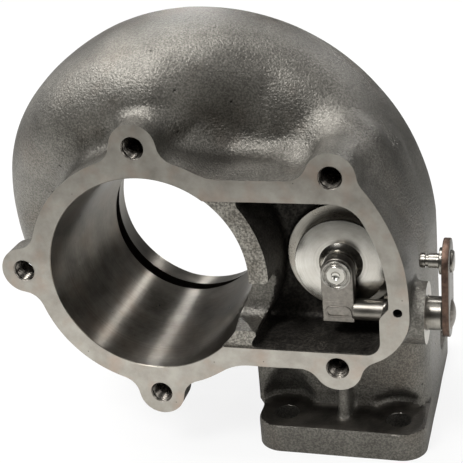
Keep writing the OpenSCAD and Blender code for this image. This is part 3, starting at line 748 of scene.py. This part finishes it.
def cut_bores(housing):
    """Cores the gas passage, and bores the turbine's seat and the wastegate port."""
    carve(housing, passage())
    carve(housing, lathe([(0.0, -0.6)] + BORE_PROFILE + [(0.0, 96.7)], "y", (0, 0), 192))
    carve(housing, rod(15.5, 20.0, 44.0, "y", VALVE, 96))


def cut_holes(housing):
    """Taps the outlet holes and drills every other hole."""
    for hole, depth in TAPPED_HOLES:
        carve(housing, screw_cut(depth, hole))
    for i in range(6):
        a = math.radians(60 * i + 30)
        hole = [(0.0, 81.4), (3.4, 82.0), (3.4, 95.4), (4.6, 96.6), (0.0, 96.6)]
        carve(housing, lathe(hole, "y", (BACK_BOLT_R * math.cos(a), BACK_BOLT_R * math.sin(a)), 40))
    low, high = INLET_TOP_Z - 0.45, INLET_TOP_Z + 0.45
    r = BOLT_HOLE_R
    drilled = [(0.0, -90.0), (r, -90.0), (r, low), (r + 0.9, high), (0.0, high)]
    for x, y in INLET_BOLTS:
        shape, sides = lathe(drilled, "y", (0, 0), 56)
        carve(housing, outward(np.stack([shape[:, 0] + x, shape[:, 2] + y, shape[:, 1]], 1), sides))
    low, high = BOSS_FACE_X - 0.4, BOSS_FACE_X + 0.4
    reamed = [(0.0, 90.0), (BUSHING_R, 90.0), (BUSHING_R, low), (BUSHING_R + 0.8, high), (0.0, high)]
    carve(housing, lathe(reamed, "x", SHAFT, 72))
    pin_hole = [(0.0, -0.3), (2.1, -0.3), (LOCK_PIN_R, 0.2), (LOCK_PIN_R, 23.0), (0.0, 23.0)]
    carve(housing, lathe(pin_hole, "y", LOCK_PIN, 32))


def build_housing(materials):
    """Machines the rough casting: each face, bore and hole is cut where the real one is."""
    verts, faces = rough_casting(1.4)
    housing = mesh_piece("turbine_housing_casting", verts, faces)
    cut_outlet_side(housing)
    cut_bores(housing)
    cut_holes(housing)
    finish_faces(housing, materials)
    return finish_piece(housing, "housing", "turbine_housing")


def bore_gap(r, y):
    """Distance of places at radius r and depth y from the bore's turned profile."""
    profile = np.array(BORE_PROFILE)
    gap = np.full(len(r), 1e9)
    for p, q in zip(profile[:-1], profile[1:]):
        e = q - p
        t = np.clip(((r - p[0]) * e[0] + (y - p[1]) * e[1]) / (e @ e), 0, 1)
        gap = np.minimum(gap, np.hypot(r - p[0] - t * e[0], y - p[1] - t * e[1]))
    return gap


def finish_faces(housing, materials):
    """Gives each face the finish of the tool that made it, by where it lies and which way it looks; the
    pocket and the inlet flange's upper side get darker cast finishes as painted shade.
    """
    names = ["cast", "milled", "bored", "band", "thread", "seat", "dark", "pocket_shade", "plate", "rim"]
    places, normals = face_places(housing.data)
    x, y, z = places.T
    r = np.hypot(x, z)
    flat_y = np.abs(normals[:, 1]) > 0.99
    marks = np.zeros(len(places), np.int32)

    def give(name, where):
        marks[where] = names.index(name)

    def at(value, level):
        return np.abs(value - level) < 0.02

    # The pocket's inside gets a darker finish: painted shade of the recess
    in_pocket = outline_distance(pocket_outline(), x, z) < 1.2
    give("pocket_shade", in_pocket & (y > BAND_DROP - 0.1) & (y < 34.0) & (r > DIVIDER_R - 0.5))
    give("milled", at(y, 0.0) & flat_y)
    give("band", at(y, BAND_DROP) & flat_y)
    give("milled", at(z, INLET_FACE_Z))
    # The inlet flange's upper side gets a darker finish: painted shade under the housing
    give("plate", (np.abs(z - INLET_TOP_Z) < 1.5) & (normals[:, 2] > 0.6))
    leans = (normals[:, 2] > 0.4) & (normals[:, 2] < 0.9)
    for hole in INLET_BOLTS:
        near = np.hypot(x - hole[0], y - hole[1]) < BOLT_HOLE_R + 1.1
        give("rim", near & (np.abs(z - INLET_TOP_Z) < 0.6) & leans)
    give("milled", at(x, BOSS_FACE_X))
    give("milled", at(y, BACK_Y) & flat_y)
    looks_in = normals[:, 0] * x + normals[:, 2] * z < -0.5 * r
    give("bored", (bore_gap(r, y) < 0.08) & (looks_in | (y > 0.02)))
    near = np.hypot(x - VALVE[0], z - VALVE[1]) < RING_R + 0.1
    give("seat", near & (y > SEAT_Y - 0.05) & (y < POCKET_DEPTH) & (x > 50))
    for hole, depth in TAPPED_HOLES:
        near = np.hypot(x - hole[0], z - hole[1]) < THREAD_R + 1.0
        give("thread", near & (y > 0.02) & (y < depth + 1.5))
    near = np.hypot(x - LOCK_PIN[0], z - LOCK_PIN[1]) < LOCK_PIN_R + 0.2
    give("dark", near & (y > 0.3) & (y < 23.2))
    give_finishes(housing.data, [materials[name] for name in names], marks)


# Materials

def linear(hex_colour):
    """sRGB hex colour as linear values."""
    parts = [int(hex_colour[i:i + 2], 16) / 255 for i in (1, 3, 5)]
    return [((v + 0.055) / 1.055) ** 2.4 if v > 0.04045 else v / 12.92 for v in parts] + [1.0]


def add(tree, kind, sockets=None, **settings):
    """Adds a node with its settings. Each socket gets a value, or a link from another node's output."""
    node = tree.nodes.new(kind)
    for key, value in settings.items():
        setattr(node, key, value)
    for key, value in (sockets or {}).items():
        if isinstance(value, bpy.types.NodeSocket):
            tree.links.new(value, node.inputs[key])
        else:
            node.inputs[key].default_value = value
    return node


def math_node(tree, kind, a, b):
    """Sum, product or the like of two values."""
    return add(tree, "ShaderNodeMath", {0: a, 1: b}, operation=kind).outputs[0]


def spread(tree, value, low, high, to_low=0.0, to_high=1.0, **settings):
    """Value carried from one range to another."""
    sockets = {"Value": value, "From Min": low, "From Max": high, "To Min": to_low, "To Max": to_high}
    return add(tree, "ShaderNodeMapRange", sockets, **settings).outputs["Result"]


def metal(name, light, dark, rough, metallic, patch, grains,
          marks=None, pits=None, stain=None, specks=None, brushed=None):
    """Metal with a mottled tone between two colours, and a relief built from real sizes in millimetres.

    patch is the size of the mottling. grains holds (size, height) of each layer of grain.
    marks holds (kind, centre, spacing, height) of tool marks: courses along an axis, or rings.
    pits holds (spacing, width, depth), stain holds (colour, size, share), specks (size, share).
    brushed holds (direction or None, centre, amount): the way a highlight is drawn out.
    """
    material = bpy.data.materials.new(name)
    material.use_nodes = True
    tree = material.node_tree
    tree.nodes.clear()
    coords = add(tree, "ShaderNodeTexCoord").outputs["Object"]

    def noise(size, detail=3.0, roughness=0.55):
        sockets = {"Vector": coords, "Scale": 1000 / size, "Detail": detail, "Roughness": roughness}
        return add(tree, "ShaderNodeTexNoise", sockets).outputs["Fac"]

    def blend(share, a, b, kind="MIX"):
        sockets = {"Factor": share, "A": a, "B": b}
        return add(tree, "ShaderNodeMix", sockets, data_type="RGBA", blend_type=kind).outputs["Result"]

    def raised(height, layer, depth):
        return math_node(tree, "ADD", height, math_node(tree, "MULTIPLY", layer, depth * MM))

    def vector_math(kind, sockets):
        return add(tree, "ShaderNodeVectorMath", sockets, operation=kind)

    def from_centre(centre):
        moved = vector_math("SUBTRACT", {0: coords, 1: (centre[0] * MM, 0.0, centre[1] * MM)})
        return vector_math("MULTIPLY", {0: moved.outputs["Vector"], 1: (1.0, 0.0, 1.0)}).outputs["Vector"]

    mottle = noise(patch, 5.0, 0.62)
    colour = blend(spread(tree, mottle, 0.34, 0.66), linear(dark), linear(light))
    if stain:
        stain_colour, size, share = stain
        colour = blend(spread(tree, noise(size), 0.5, 0.75, 0.0, share), colour, linear(stain_colour))
    if specks:
        size, share = specks
        colour = blend(spread(tree, noise(size, 2.0), 0.40, 0.62, share, 0.0), colour, linear("#1c1a18"))
    height = 0.0
    for size, depth in grains:
        height = raised(height, noise(size), depth)
    if marks:
        kind, centre, spacing, depth = marks
        if kind == "rings":
            along = vector_math("LENGTH", {0: from_centre(centre)}).outputs["Value"]
        else:
            along = add(tree, "ShaderNodeSeparateXYZ", {"Vector": coords}).outputs[kind]
        sockets = {"W": along, "Scale": 1000 / spacing, "Detail": 2.0}
        course = add(tree, "ShaderNodeTexNoise", sockets, noise_dimensions="1D").outputs["Fac"]
        height = raised(height, course, depth)
        colour = blend(1.0, colour, spread(tree, course, 0.3, 0.7, 0.9, 1.04), "MULTIPLY")
    if pits:
        spacing, width, depth = pits
        cells = add(tree, "ShaderNodeTexVoronoi", {"Vector": coords, "Scale": 1000 / spacing})
        floor_of_pit = spread(tree, cells.outputs["Distance"], 0.4 * width / spacing, width / spacing)
        height = raised(height, floor_of_pit, depth)
        colour = blend(spread(tree, floor_of_pit, 0.0, 1.0, 0.8, 0.0), colour, linear("#26231f"))
    bump = add(tree, "ShaderNodeBump", {"Height": height, "Distance": 1.0, "Strength": 1.0})
    sockets = {
        "Base Color": colour,
        "Metallic": metallic,
        "Roughness": spread(tree, mottle, 0.3, 0.7, *rough),
        "Normal": bump.outputs["Normal"],
    }
    if brushed:
        way = brushed[0] or from_centre(brushed[1])
        kinds = {"vector_type": "VECTOR", "convert_from": "OBJECT", "convert_to": "WORLD"}
        tangent = add(tree, "ShaderNodeVectorTransform", {"Vector": way}, **kinds)
        unit = vector_math("NORMALIZE", {0: tangent.outputs["Vector"]})
        sockets["Anisotropic"] = brushed[2]
        sockets["Tangent"] = unit.outputs["Vector"]
    shader = add(tree, "ShaderNodeBsdfPrincipled", sockets)
    add(tree, "ShaderNodeOutputMaterial", {"Surface": shader.outputs["BSDF"]})
    return material


def make_materials():
    """One finish for each tool or process that leaves its mark on the real part, and two darker cast
    finishes that paint the shade in the pocket and on the inlet flange's upper side.
    """
    along_x, along_y = (1.0, 0.0, 0.0), (0.0, 1.0, 0.0)
    return {
        # Sand cast iron, shot blasted: a dull grey with a sharp grain, rare pits and a breath of rust
        "cast": metal(
            "sand_cast_iron", "#85827b", "#6b6862", (0.38, 0.50), 0.88, 22,
            [(5.0, 0.12), (1.3, 0.34), (0.75, 0.26)],
            pits=(12.0, 0.7, 0.4), stain=("#756556", 34, 0.35), specks=(0.8, 0.45)),
        # Face milled iron: pale and fine, with small pores and a warm bloom
        "milled": metal(
            "milled_iron", "#aca8a0", "#928d85", (0.30, 0.40), 0.92, 10, [(3.0, 0.012), (0.5, 0.006)],
            pits=(7.0, 0.35, 0.05), stain=("#a58f80", 13, 0.55)),
        # Bored iron: courses of tool marks draw each highlight out along the axis
        "bored": metal(
            "bored_iron", "#88837b", "#5a564f", (0.27, 0.38), 1.0, 20, [(0.7, 0.006)],
            marks=("Y", None, 0.9, 0.003), pits=(5.0, 0.3, 0.02), stain=("#6a5a4c", 18, 0.5),
            brushed=(along_y, None, 0.8)),
        # As cast top of the divider, coarse and pale
        "band": metal(
            "cast_divider_top", "#aaa69d", "#8b867d", (0.36, 0.5), 0.88, 6, [(1.3, 0.26), (0.6, 0.14)],
            specks=(0.8, 0.6)),
        # Inside of the pocket: the same casting, darkened as painted shade of the recess
        "pocket_shade": metal(
            "pocket_painted_shade_iron", "#56524c", "#36332f", (0.42, 0.6), 0.7, 8,
            [(3.0, 0.2), (1.2, 0.30), (0.6, 0.1)], specks=(1.2, 0.7)),
        # Upper side of the inlet flange, darkened as painted shade under the housing
        "plate": metal(
            "plate_top_painted_shade", "#57534d", "#3b3834", (0.42, 0.55), 0.8, 9, [(3.0, 0.1), (1.0, 0.2)]),
        # Chamfer of a drilled bolt hole
        "rim": metal("drilled_chamfer", "#c9c5bd", "#aaa69e", (0.22, 0.32), 1.0, 5, [(0.5, 0.01)]),
        # Tapped thread, oily
        "thread": metal("tapped_thread", "#8d8880", "#4a4642", (0.22, 0.34), 1.0, 3, [(0.6, 0.02)]),
        # Turned valve seat
        "seat": metal(
            "turned_seat", "#bdb9b0", "#9f998f", (0.24, 0.34), 1.0, 8, [(0.6, 0.004)],
            marks=("rings", VALVE, 0.6, 0.004), brushed=(None, VALVE, 0.7)),
        # Drilled hole with the end of the lock pin, nearly black
        "dark": metal("lock_pin_hole", "#2b2926", "#171614", (0.5, 0.6), 0.6, 2, [(0.4, 0.02)]),
        # Turned and polished heat resisting steel
        "valve": metal(
            "polished_valve_steel", "#cbc8c1", "#b4b0a8", (0.18, 0.27), 1.0, 9, [(2.0, 0.003)],
            marks=("rings", VALVE, 0.7, 0.003), brushed=(None, VALVE, 0.55)),
        # Washer peened over the stud
        "washer": metal(
            "peened_steel", "#b3b0a9", "#78746d", (0.24, 0.36), 1.0, 3, [(1.0, 0.03), (0.4, 0.01)],
            marks=("rings", VALVE, 0.9, 0.02)),
        # Investment cast arm, satin
        "arm": metal(
            "satin_arm_steel", "#9a958e", "#7e7972", (0.32, 0.44), 0.97, 6, [(0.8, 0.03), (0.4, 0.01)],
            specks=(1.4, 0.2)),
        # Ground shaft, dulled by heat
        "shaft": metal(
            "ground_shaft_steel", "#96928a", "#7a766f", (0.34, 0.44), 1.0, 8, [(0.5, 0.003)],
            brushed=(along_x, None, 0.3)),
        # Turned bushing and bright pin
        "bright": metal(
            "bright_turned_steel", "#a19d95", "#827e77", (0.28, 0.36), 1.0, 6, [(0.6, 0.003)],
            marks=("X", None, 0.6, 0.004), brushed=(along_x, None, 0.6)),
        # Sheared edge of the lever, browned by heat
        "lever_edge": metal(
            "heat_tinted_edge", "#6b564a", "#3f322c", (0.4, 0.55), 0.85, 3, [(1.2, 0.05), (0.4, 0.02)]),
        # Rolled faces of the lever
        "lever_face": metal(
            "rolled_steel_face", "#7d7a75", "#625e59", (0.35, 0.48), 0.95, 8, [(1.5, 0.01), (0.5, 0.006)]),
        # Weld bead with heat tint
        "weld": metal(
            "weld_bead", "#86817a", "#55504a", (0.32, 0.46), 0.9, 3, [(1.2, 0.06)],
            stain=("#6a5240", 6, 0.6)),
    }


# Valve gear

def ridge(points, r=0.4, steps=3):
    """Closed profile with each corner of (radius, place) rounded to r by a quarter turn."""
    points = [np.asarray(p, float) for p in points]
    out = []
    n = len(points)
    for i, p in enumerate(points):
        before, after = points[i - 1], points[(i + 1) % n]
        if p[0] == 0.0:
            out.append(p)
            continue
        u, v = before - p, after - p
        reach = min(r, 0.45 * np.linalg.norm(u), 0.45 * np.linalg.norm(v))
        a, b = p + u / np.linalg.norm(u) * reach, p + v / np.linalg.norm(v) * reach
        for s in np.linspace(0, 1, steps + 1):
            out.append((1 - s) ** 2 * a + 2 * s * (1 - s) * p + s * s * b)
    return out


def turned_piece(name, profile, axis, centre, count, finish, angle=30.0, wobble=None):
    """Piece turned round a line, with a single finish."""
    return mesh_piece(name, *lathe(profile, axis, centre, count, wobble), [finish], angle)


def build_valve(m):
    """Disc with a hollow cone: the cone's radius falls from 9.3 to 7.2 on a hollow curve."""
    disc = [(0.0, 26.6), (19.0, 26.6), (19.45, 26.45), (19.6, 26.1)]
    disc += [(19.6, 22.4), (19.5, 22.12), (19.2, 22.0)]
    cone = [(9.3 - 2.1 * (1 - (1 - v) ** 2.2), 22.0 - 3.7 * v) for v in np.linspace(0, 1, 8)]
    stud = [(4.0, 18.3), (4.0, WASHER_OUT_Y + 0.15), (3.8, WASHER_OUT_Y)]
    dimple = [(1.9, WASHER_OUT_Y), (1.5, 10.45), (0.9, 10.8), (0.0, 10.95)]
    profile = disc + [(9.9, 22.0)] + cone + stud + dimple
    valve = turned_piece("flapper_valve_disc", profile, "y", VALVE, 160, m["valve"], 28)
    return finish_piece(valve, "valve", "flapper_valve")


def build_washer(m):
    """Washer peened over the stud: a ring with soft edges and a shallow groove."""
    out, groove = WASHER_OUT_Y, WASHER_OUT_Y + 0.4
    profile = ridge([
        (3.99, WASHER_IN_Y), (6.3, WASHER_IN_Y), (6.3, out), (5.5, out),
        (5.2, groove), (4.8, groove), (4.5, out), (3.99, out),
    ], 0.35)
    washer = turned_piece("valve_washer_ring", profile, "y", VALVE, 96, m["washer"])
    return finish_piece(washer, "valve", "valve_washer")


def stadium(centre, length, r, steps=20):
    """Outline of two half circles of radius r joined by straight sides, upright."""
    x, z = centre
    top = arc((x, z + length / 2), r, 0, 180, steps)
    foot = arc((x, z - length / 2), r, 180, 360, steps)
    return np.concatenate([top, foot])


def build_arm(m):
    """Arm with its flat foot and its shaft. The blank border on the foot is a raised oval ridge."""
    x, half, corner_r = VALVE[0], 6.8, 1.6
    outline = np.concatenate([
        arc((x, VALVE[1]), half, 0, 180, 32),
        arc((x - half + corner_r, SHAFT_Z - 3.4), corner_r, 180, 270, 6),
        arc((x + half - corner_r, SHAFT_Z - 3.4), corner_r, 270, 360, 6),
    ])
    arm = mesh_piece("valve_arm_forging", *prism(outline, 12.0, 18.0, "y", 0.7))
    foot = arc(SHAFT, 5.5, 0, 355, 71)
    foot[:, 0] = np.maximum(foot[:, 0], FOOT_Y)
    carve(arm, prism(foot, x - half, x + half, "x", 0.7), "UNION")
    carve(arm, rod(4.05, 8.0, 22.0, "y", VALVE, 72))
    border = stadium((0, 0), 6.0, 2.5)[:, ::-1] + np.array([x, SHAFT_Z])
    inner = stadium((0, 0), 6.0, 1.8)[:, ::-1] + np.array([x, SHAFT_Z])
    carve(arm, prism(border, FOOT_Y - 0.4, FOOT_Y + 1.5, "y", 0.2), "UNION")
    carve(arm, prism(inner, FOOT_Y - 1.0, FOOT_Y + 0.05, "y"))
    start, end = x + half - 1.2, LEVER_OUT_X
    shaft = [
        (0.0, start), (SHAFT_R - 0.6, start), (SHAFT_R, start + 0.9),
        (SHAFT_R, end - 0.3), (SHAFT_R - 0.3, end), (0.0, end),
    ]
    carve(arm, lathe(shaft, "x", SHAFT, 96), "UNION")
    places, _ = face_places(arm.data)
    give_finishes(arm.data, [m["arm"], m["shaft"]], places[:, 0] > x + half + 0.05)
    return finish_piece(arm, "swing_arm", "valve_arm")


def build_bushing(m):
    """Turned tube with a chamfer at each end."""
    bore, outer, start, end = SHAFT_R + 0.05, BUSHING_R + 0.01, BOSS_IN_X, 120.6
    profile = [
        (bore, start + 0.5), (5.1, start), (6.6, start), (outer, start + 0.4),
        (outer, end - 0.5), (6.5, end), (5.0, end), (bore, end - 0.4),
    ]
    bushing = turned_piece("shaft_bushing_tube", profile, "x", SHAFT, 96, m["bright"])
    return finish_piece(bushing, "housing", "shaft_bushing")


def build_lock_pin(m):
    """Dowel with a rounded end, driven in below the face."""
    r = LOCK_PIN_R + 0.01
    profile = [(0.0, 3.0), (1.2, 3.05), (1.6, 3.3), (r, 3.8), (r, 21.4), (1.5, 22.0), (0.0, 22.0)]
    pin = turned_piece("bushing_lock_dowel", profile, "y", LOCK_PIN, 40, m["dark"], 40)
    return finish_piece(pin, "housing", "bushing_lock_pin")


def build_lever(m):
    """Flat lever with round ends and a softly sheared edge."""
    outline = stadium((SHAFT_Y, SHAFT_Z + 11.8), 2 * 11.8, 9.4, 32)
    lever = mesh_piece("crank_lever_plate", *prism(outline, LEVER_IN_X, LEVER_OUT_X, "x", 0.45))
    for z, r in ((SHAFT_Z, SHAFT_R - 0.01), (CRANK_PIN_Z, 2.99)):
        carve(lever, rod(r, 119.0, 126.0, "x", (SHAFT_Y, z), 64))
    _, normals = face_places(lever.data)
    give_finishes(lever.data, [m["lever_edge"], m["lever_face"]], np.abs(normals[:, 0]) > 0.6)
    return finish_piece(lever, "swing_arm", "crank_lever")


def build_crank_pin(m):
    """Turned pin: pointed tip, clip groove, plain stretch, collar, and a riveted head outside the lever."""
    inner, outer = LEVER_IN_X, LEVER_OUT_X
    tip = [(0.0, 111.5), (2.3, 111.5), (2.75, 111.75), (3.0, 112.3), (3.0, 113.8), (2.9, 113.9)]
    groove = [(2.45, 113.95), (2.4, 114.0), (2.4, 115.0), (2.45, 115.05), (2.9, 115.1), (3.0, 115.2)]
    collar = [(3.0, 119.3), (3.1, 119.4), (5.2, 119.4), (5.5, 119.7), (5.5, 120.75), (5.35, inner)]
    head = [
        (3.0, inner), (3.0, outer), (4.3, outer), (4.6, 124.1), (4.55, 124.7), (3.9, 125.2),
        (2.0, 125.4), (0.0, 125.35),
    ]
    profile = tip + groove + collar + head
    pin = turned_piece("crank_pin_turned", profile, "x", (SHAFT_Y, CRANK_PIN_Z), 96, m["bright"])
    return finish_piece(pin, "swing_arm", "crank_pin")


def build_weld(m):
    """Dome of weld metal: a slice of a ball whose edge ripples by a tenth of a millimetre."""
    ball_r = (WELD_R ** 2 + WELD_HEIGHT ** 2) / (2 * WELD_HEIGHT)
    top = LEVER_OUT_X + WELD_HEIGHT
    angles = np.linspace(math.asin(WELD_R / ball_r), 0.03, 16)
    rows = [(ball_r * math.sin(a), top - ball_r * (1 - math.cos(a))) for a in angles]
    profile = [(0.0, LEVER_OUT_X)] + rows + [(0.0, top)]

    def ripple(t, r, s):
        return -0.12 * (r / WELD_R) ** 3 * (1 + np.sin(17 * t + 1.3 * np.sin(3 * t)))

    weld = turned_piece("crank_weld_bead", profile, "x", SHAFT, 120, m["weld"], 50, ripple)
    return finish_piece(weld, "swing_arm", "crank_weld")


def finish_piece(piece, body, node):
    """Puts the piece on its body in place of its plain solid."""
    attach(piece, body)
    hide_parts(node)
    return piece


# Studio

def make_camera():
    """Camera fitted to the photograph: 17 degrees round to the right, 23 degrees up, rolled by 5 degrees."""
    azimuth, elevation, roll, distance, focal = 0.301436, 0.404961, -0.090714, 510.106, 1184.398
    target = np.array([29.0719, 30.0, 8.0522])
    level = math.cos(elevation)
    back = np.array([math.sin(azimuth) * level, -math.cos(azimuth) * level, math.sin(elevation)])
    right = np.cross(-back, [0, 0, 1])
    right /= np.linalg.norm(right)
    up = np.cross(right, -back)
    r = math.cos(roll) * right + math.sin(roll) * up
    u = -math.sin(roll) * right + math.cos(roll) * up
    data = bpy.data.cameras.new("photo_camera")
    data.sensor_width = SENSOR
    data.lens = focal / PHOTO_SIDE * SENSOR
    data.clip_start, data.clip_end = 0.01, 20.0
    camera = bpy.data.objects.new("photo_camera", data)
    basis = Matrix([[r[i], u[i], back[i]] for i in range(3)]).to_4x4()
    camera.matrix_world = Matrix.Translation(Vector((target + back * distance) * MM)) @ basis
    bpy.context.scene.collection.objects.link(camera)
    bpy.context.scene.camera = camera


def add_lamp(name, place_m, target_m, size, power):
    """Square soft box that faces a point."""
    data = bpy.data.lights.new(name, "AREA")
    data.shape = "SQUARE"
    data.size = size
    data.energy = power
    lamp = bpy.data.objects.new(name, data)
    direction = Vector(target_m) - Vector(place_m)
    lamp.location = place_m
    lamp.rotation_euler = direction.to_track_quat("-Z", "Y").to_euler()
    lamp.visible_camera = False
    bpy.context.scene.collection.objects.link(lamp)


def new_tree(owner):
    """Empty node tree of a material or a world."""
    owner.use_nodes = True
    owner.node_tree.nodes.clear()
    return owner.node_tree


def make_floor():
    """Pale paper under the inlet face. Only in reflections does it turn darker in front and behind."""
    size = 4.0
    z = INLET_FACE_Z * MM
    mesh = bpy.data.meshes.new("floor")
    corners = [(-size, -size, z), (size, -size, z), (size, size, z), (-size, size, z)]
    mesh.from_pydata(corners, [], [(0, 1, 2, 3)])
    floor = bpy.data.objects.new("floor", mesh)
    bpy.context.scene.collection.objects.link(floor)
    paper = bpy.data.materials.new("white_paper")
    tree = new_tree(paper)
    camera_ray = add(tree, "ShaderNodeLightPath").outputs["Is Camera Ray"]
    coords = add(tree, "ShaderNodeTexCoord").outputs["Object"]
    along = add(tree, "ShaderNodeSeparateXYZ", {"Vector": coords}).outputs["Y"]
    in_front = spread(tree, along, -0.30, -0.10)
    behind = spread(tree, along, 0.40, 0.14)
    near = math_node(tree, "MULTIPLY", in_front, behind)
    share = math_node(tree, "MAXIMUM", near, camera_ray)
    sockets = {"Factor": share, "A": linear("#7d7d7b"), "B": linear("#e4e4e2")}
    tone = add(tree, "ShaderNodeMix", sockets, data_type="RGBA").outputs["Result"]
    sheet = add(tree, "ShaderNodeBsdfDiffuse", {"Color": tone})
    glow = add(tree, "ShaderNodeEmission", {"Color": linear("#ffffff"), "Strength": 1.0})
    seen = math_node(tree, "MULTIPLY", camera_ray, 0.86)
    mix = add(tree, "ShaderNodeMixShader", {0: seen, 1: sheet.outputs[0], 2: glow.outputs[0]})
    add(tree, "ShaderNodeOutputMaterial", {"Surface": mix.outputs[0]})
    mesh.materials.append(paper)


def make_room():
    """White background for the camera, and a room of several tones for the part to reflect."""
    world = bpy.data.worlds.new("studio")
    bpy.context.scene.world = world
    tree = new_tree(world)
    camera_ray = add(tree, "ShaderNodeLightPath").outputs["Is Camera Ray"]
    direction = add(tree, "ShaderNodeTexCoord").outputs["Generated"]

    def toward(way, low, high, to_low, to_high):
        dot = add(tree, "ShaderNodeVectorMath", {0: direction, 1: way}, operation="DOT_PRODUCT")
        value = dot.outputs["Value"]
        return spread(tree, value, low, high, to_low, to_high, interpolation_type="SMOOTHSTEP")

    # Bright up on the left, then a dark room behind the camera, a dark curtain behind the part
    # and a grey wall low at the left
    level = toward((-0.55, 0.05, 0.83), -0.4, 0.95, 0.16, 0.95)
    shades = [
        toward((0.2, -0.97, 0.15), 0.35, 0.9, 1.0, 0.12),
        toward((-0.05, 0.94, 0.33), 0.62, 0.95, 1.0, 0.12),
        toward((-0.96, -0.20, -0.15), 0.75, 0.97, 1.0, 0.35),
    ]
    for dark in shades:
        level = math_node(tree, "MULTIPLY", level, dark)
    room = add(tree, "ShaderNodeBackground", {"Color": linear("#ffffff"), "Strength": level})
    white = add(tree, "ShaderNodeBackground", {"Color": linear("#ffffff"), "Strength": 1.0})
    mix = add(tree, "ShaderNodeMixShader", {0: camera_ray, 1: room.outputs[0], 2: white.outputs[0]})
    add(tree, "ShaderNodeOutputWorld", {"Surface": mix.outputs[0]})


def make_lamps():
    """Soft boxes round the part."""
    aim = (0.03, 0.03, 0.0)
    add_lamp("key_box", (-0.66, 0.12, 1.0), aim, 0.6, 8.5)
    add_lamp("top_box", (-0.10, 0.32, 1.10), aim, 0.4, 5.0)
    add_lamp("front_box", (-0.30, -0.70, 1.0), (0.0, -0.10, -0.09), 0.4, 11.5)
    add_lamp("back_strip_left", (-0.40, 1.30, 0.62), aim, 0.12, 3.0)
    add_lamp("back_strip_right", (0.50, 1.25, 0.66), aim, 0.10, 3.0)
    add_lamp("side_box", (0.9, -0.55, 0.45), aim, 0.5, 2.2)


bpy.context.scene.view_settings.view_transform = "Standard"
make_camera()
finishes = make_materials()
for build in (
    build_housing, build_bushing, build_lock_pin, build_arm, build_valve,
    build_washer, build_lever, build_crank_pin, build_weld,
):
    build(finishes)
make_floor()
make_room()
make_lamps()
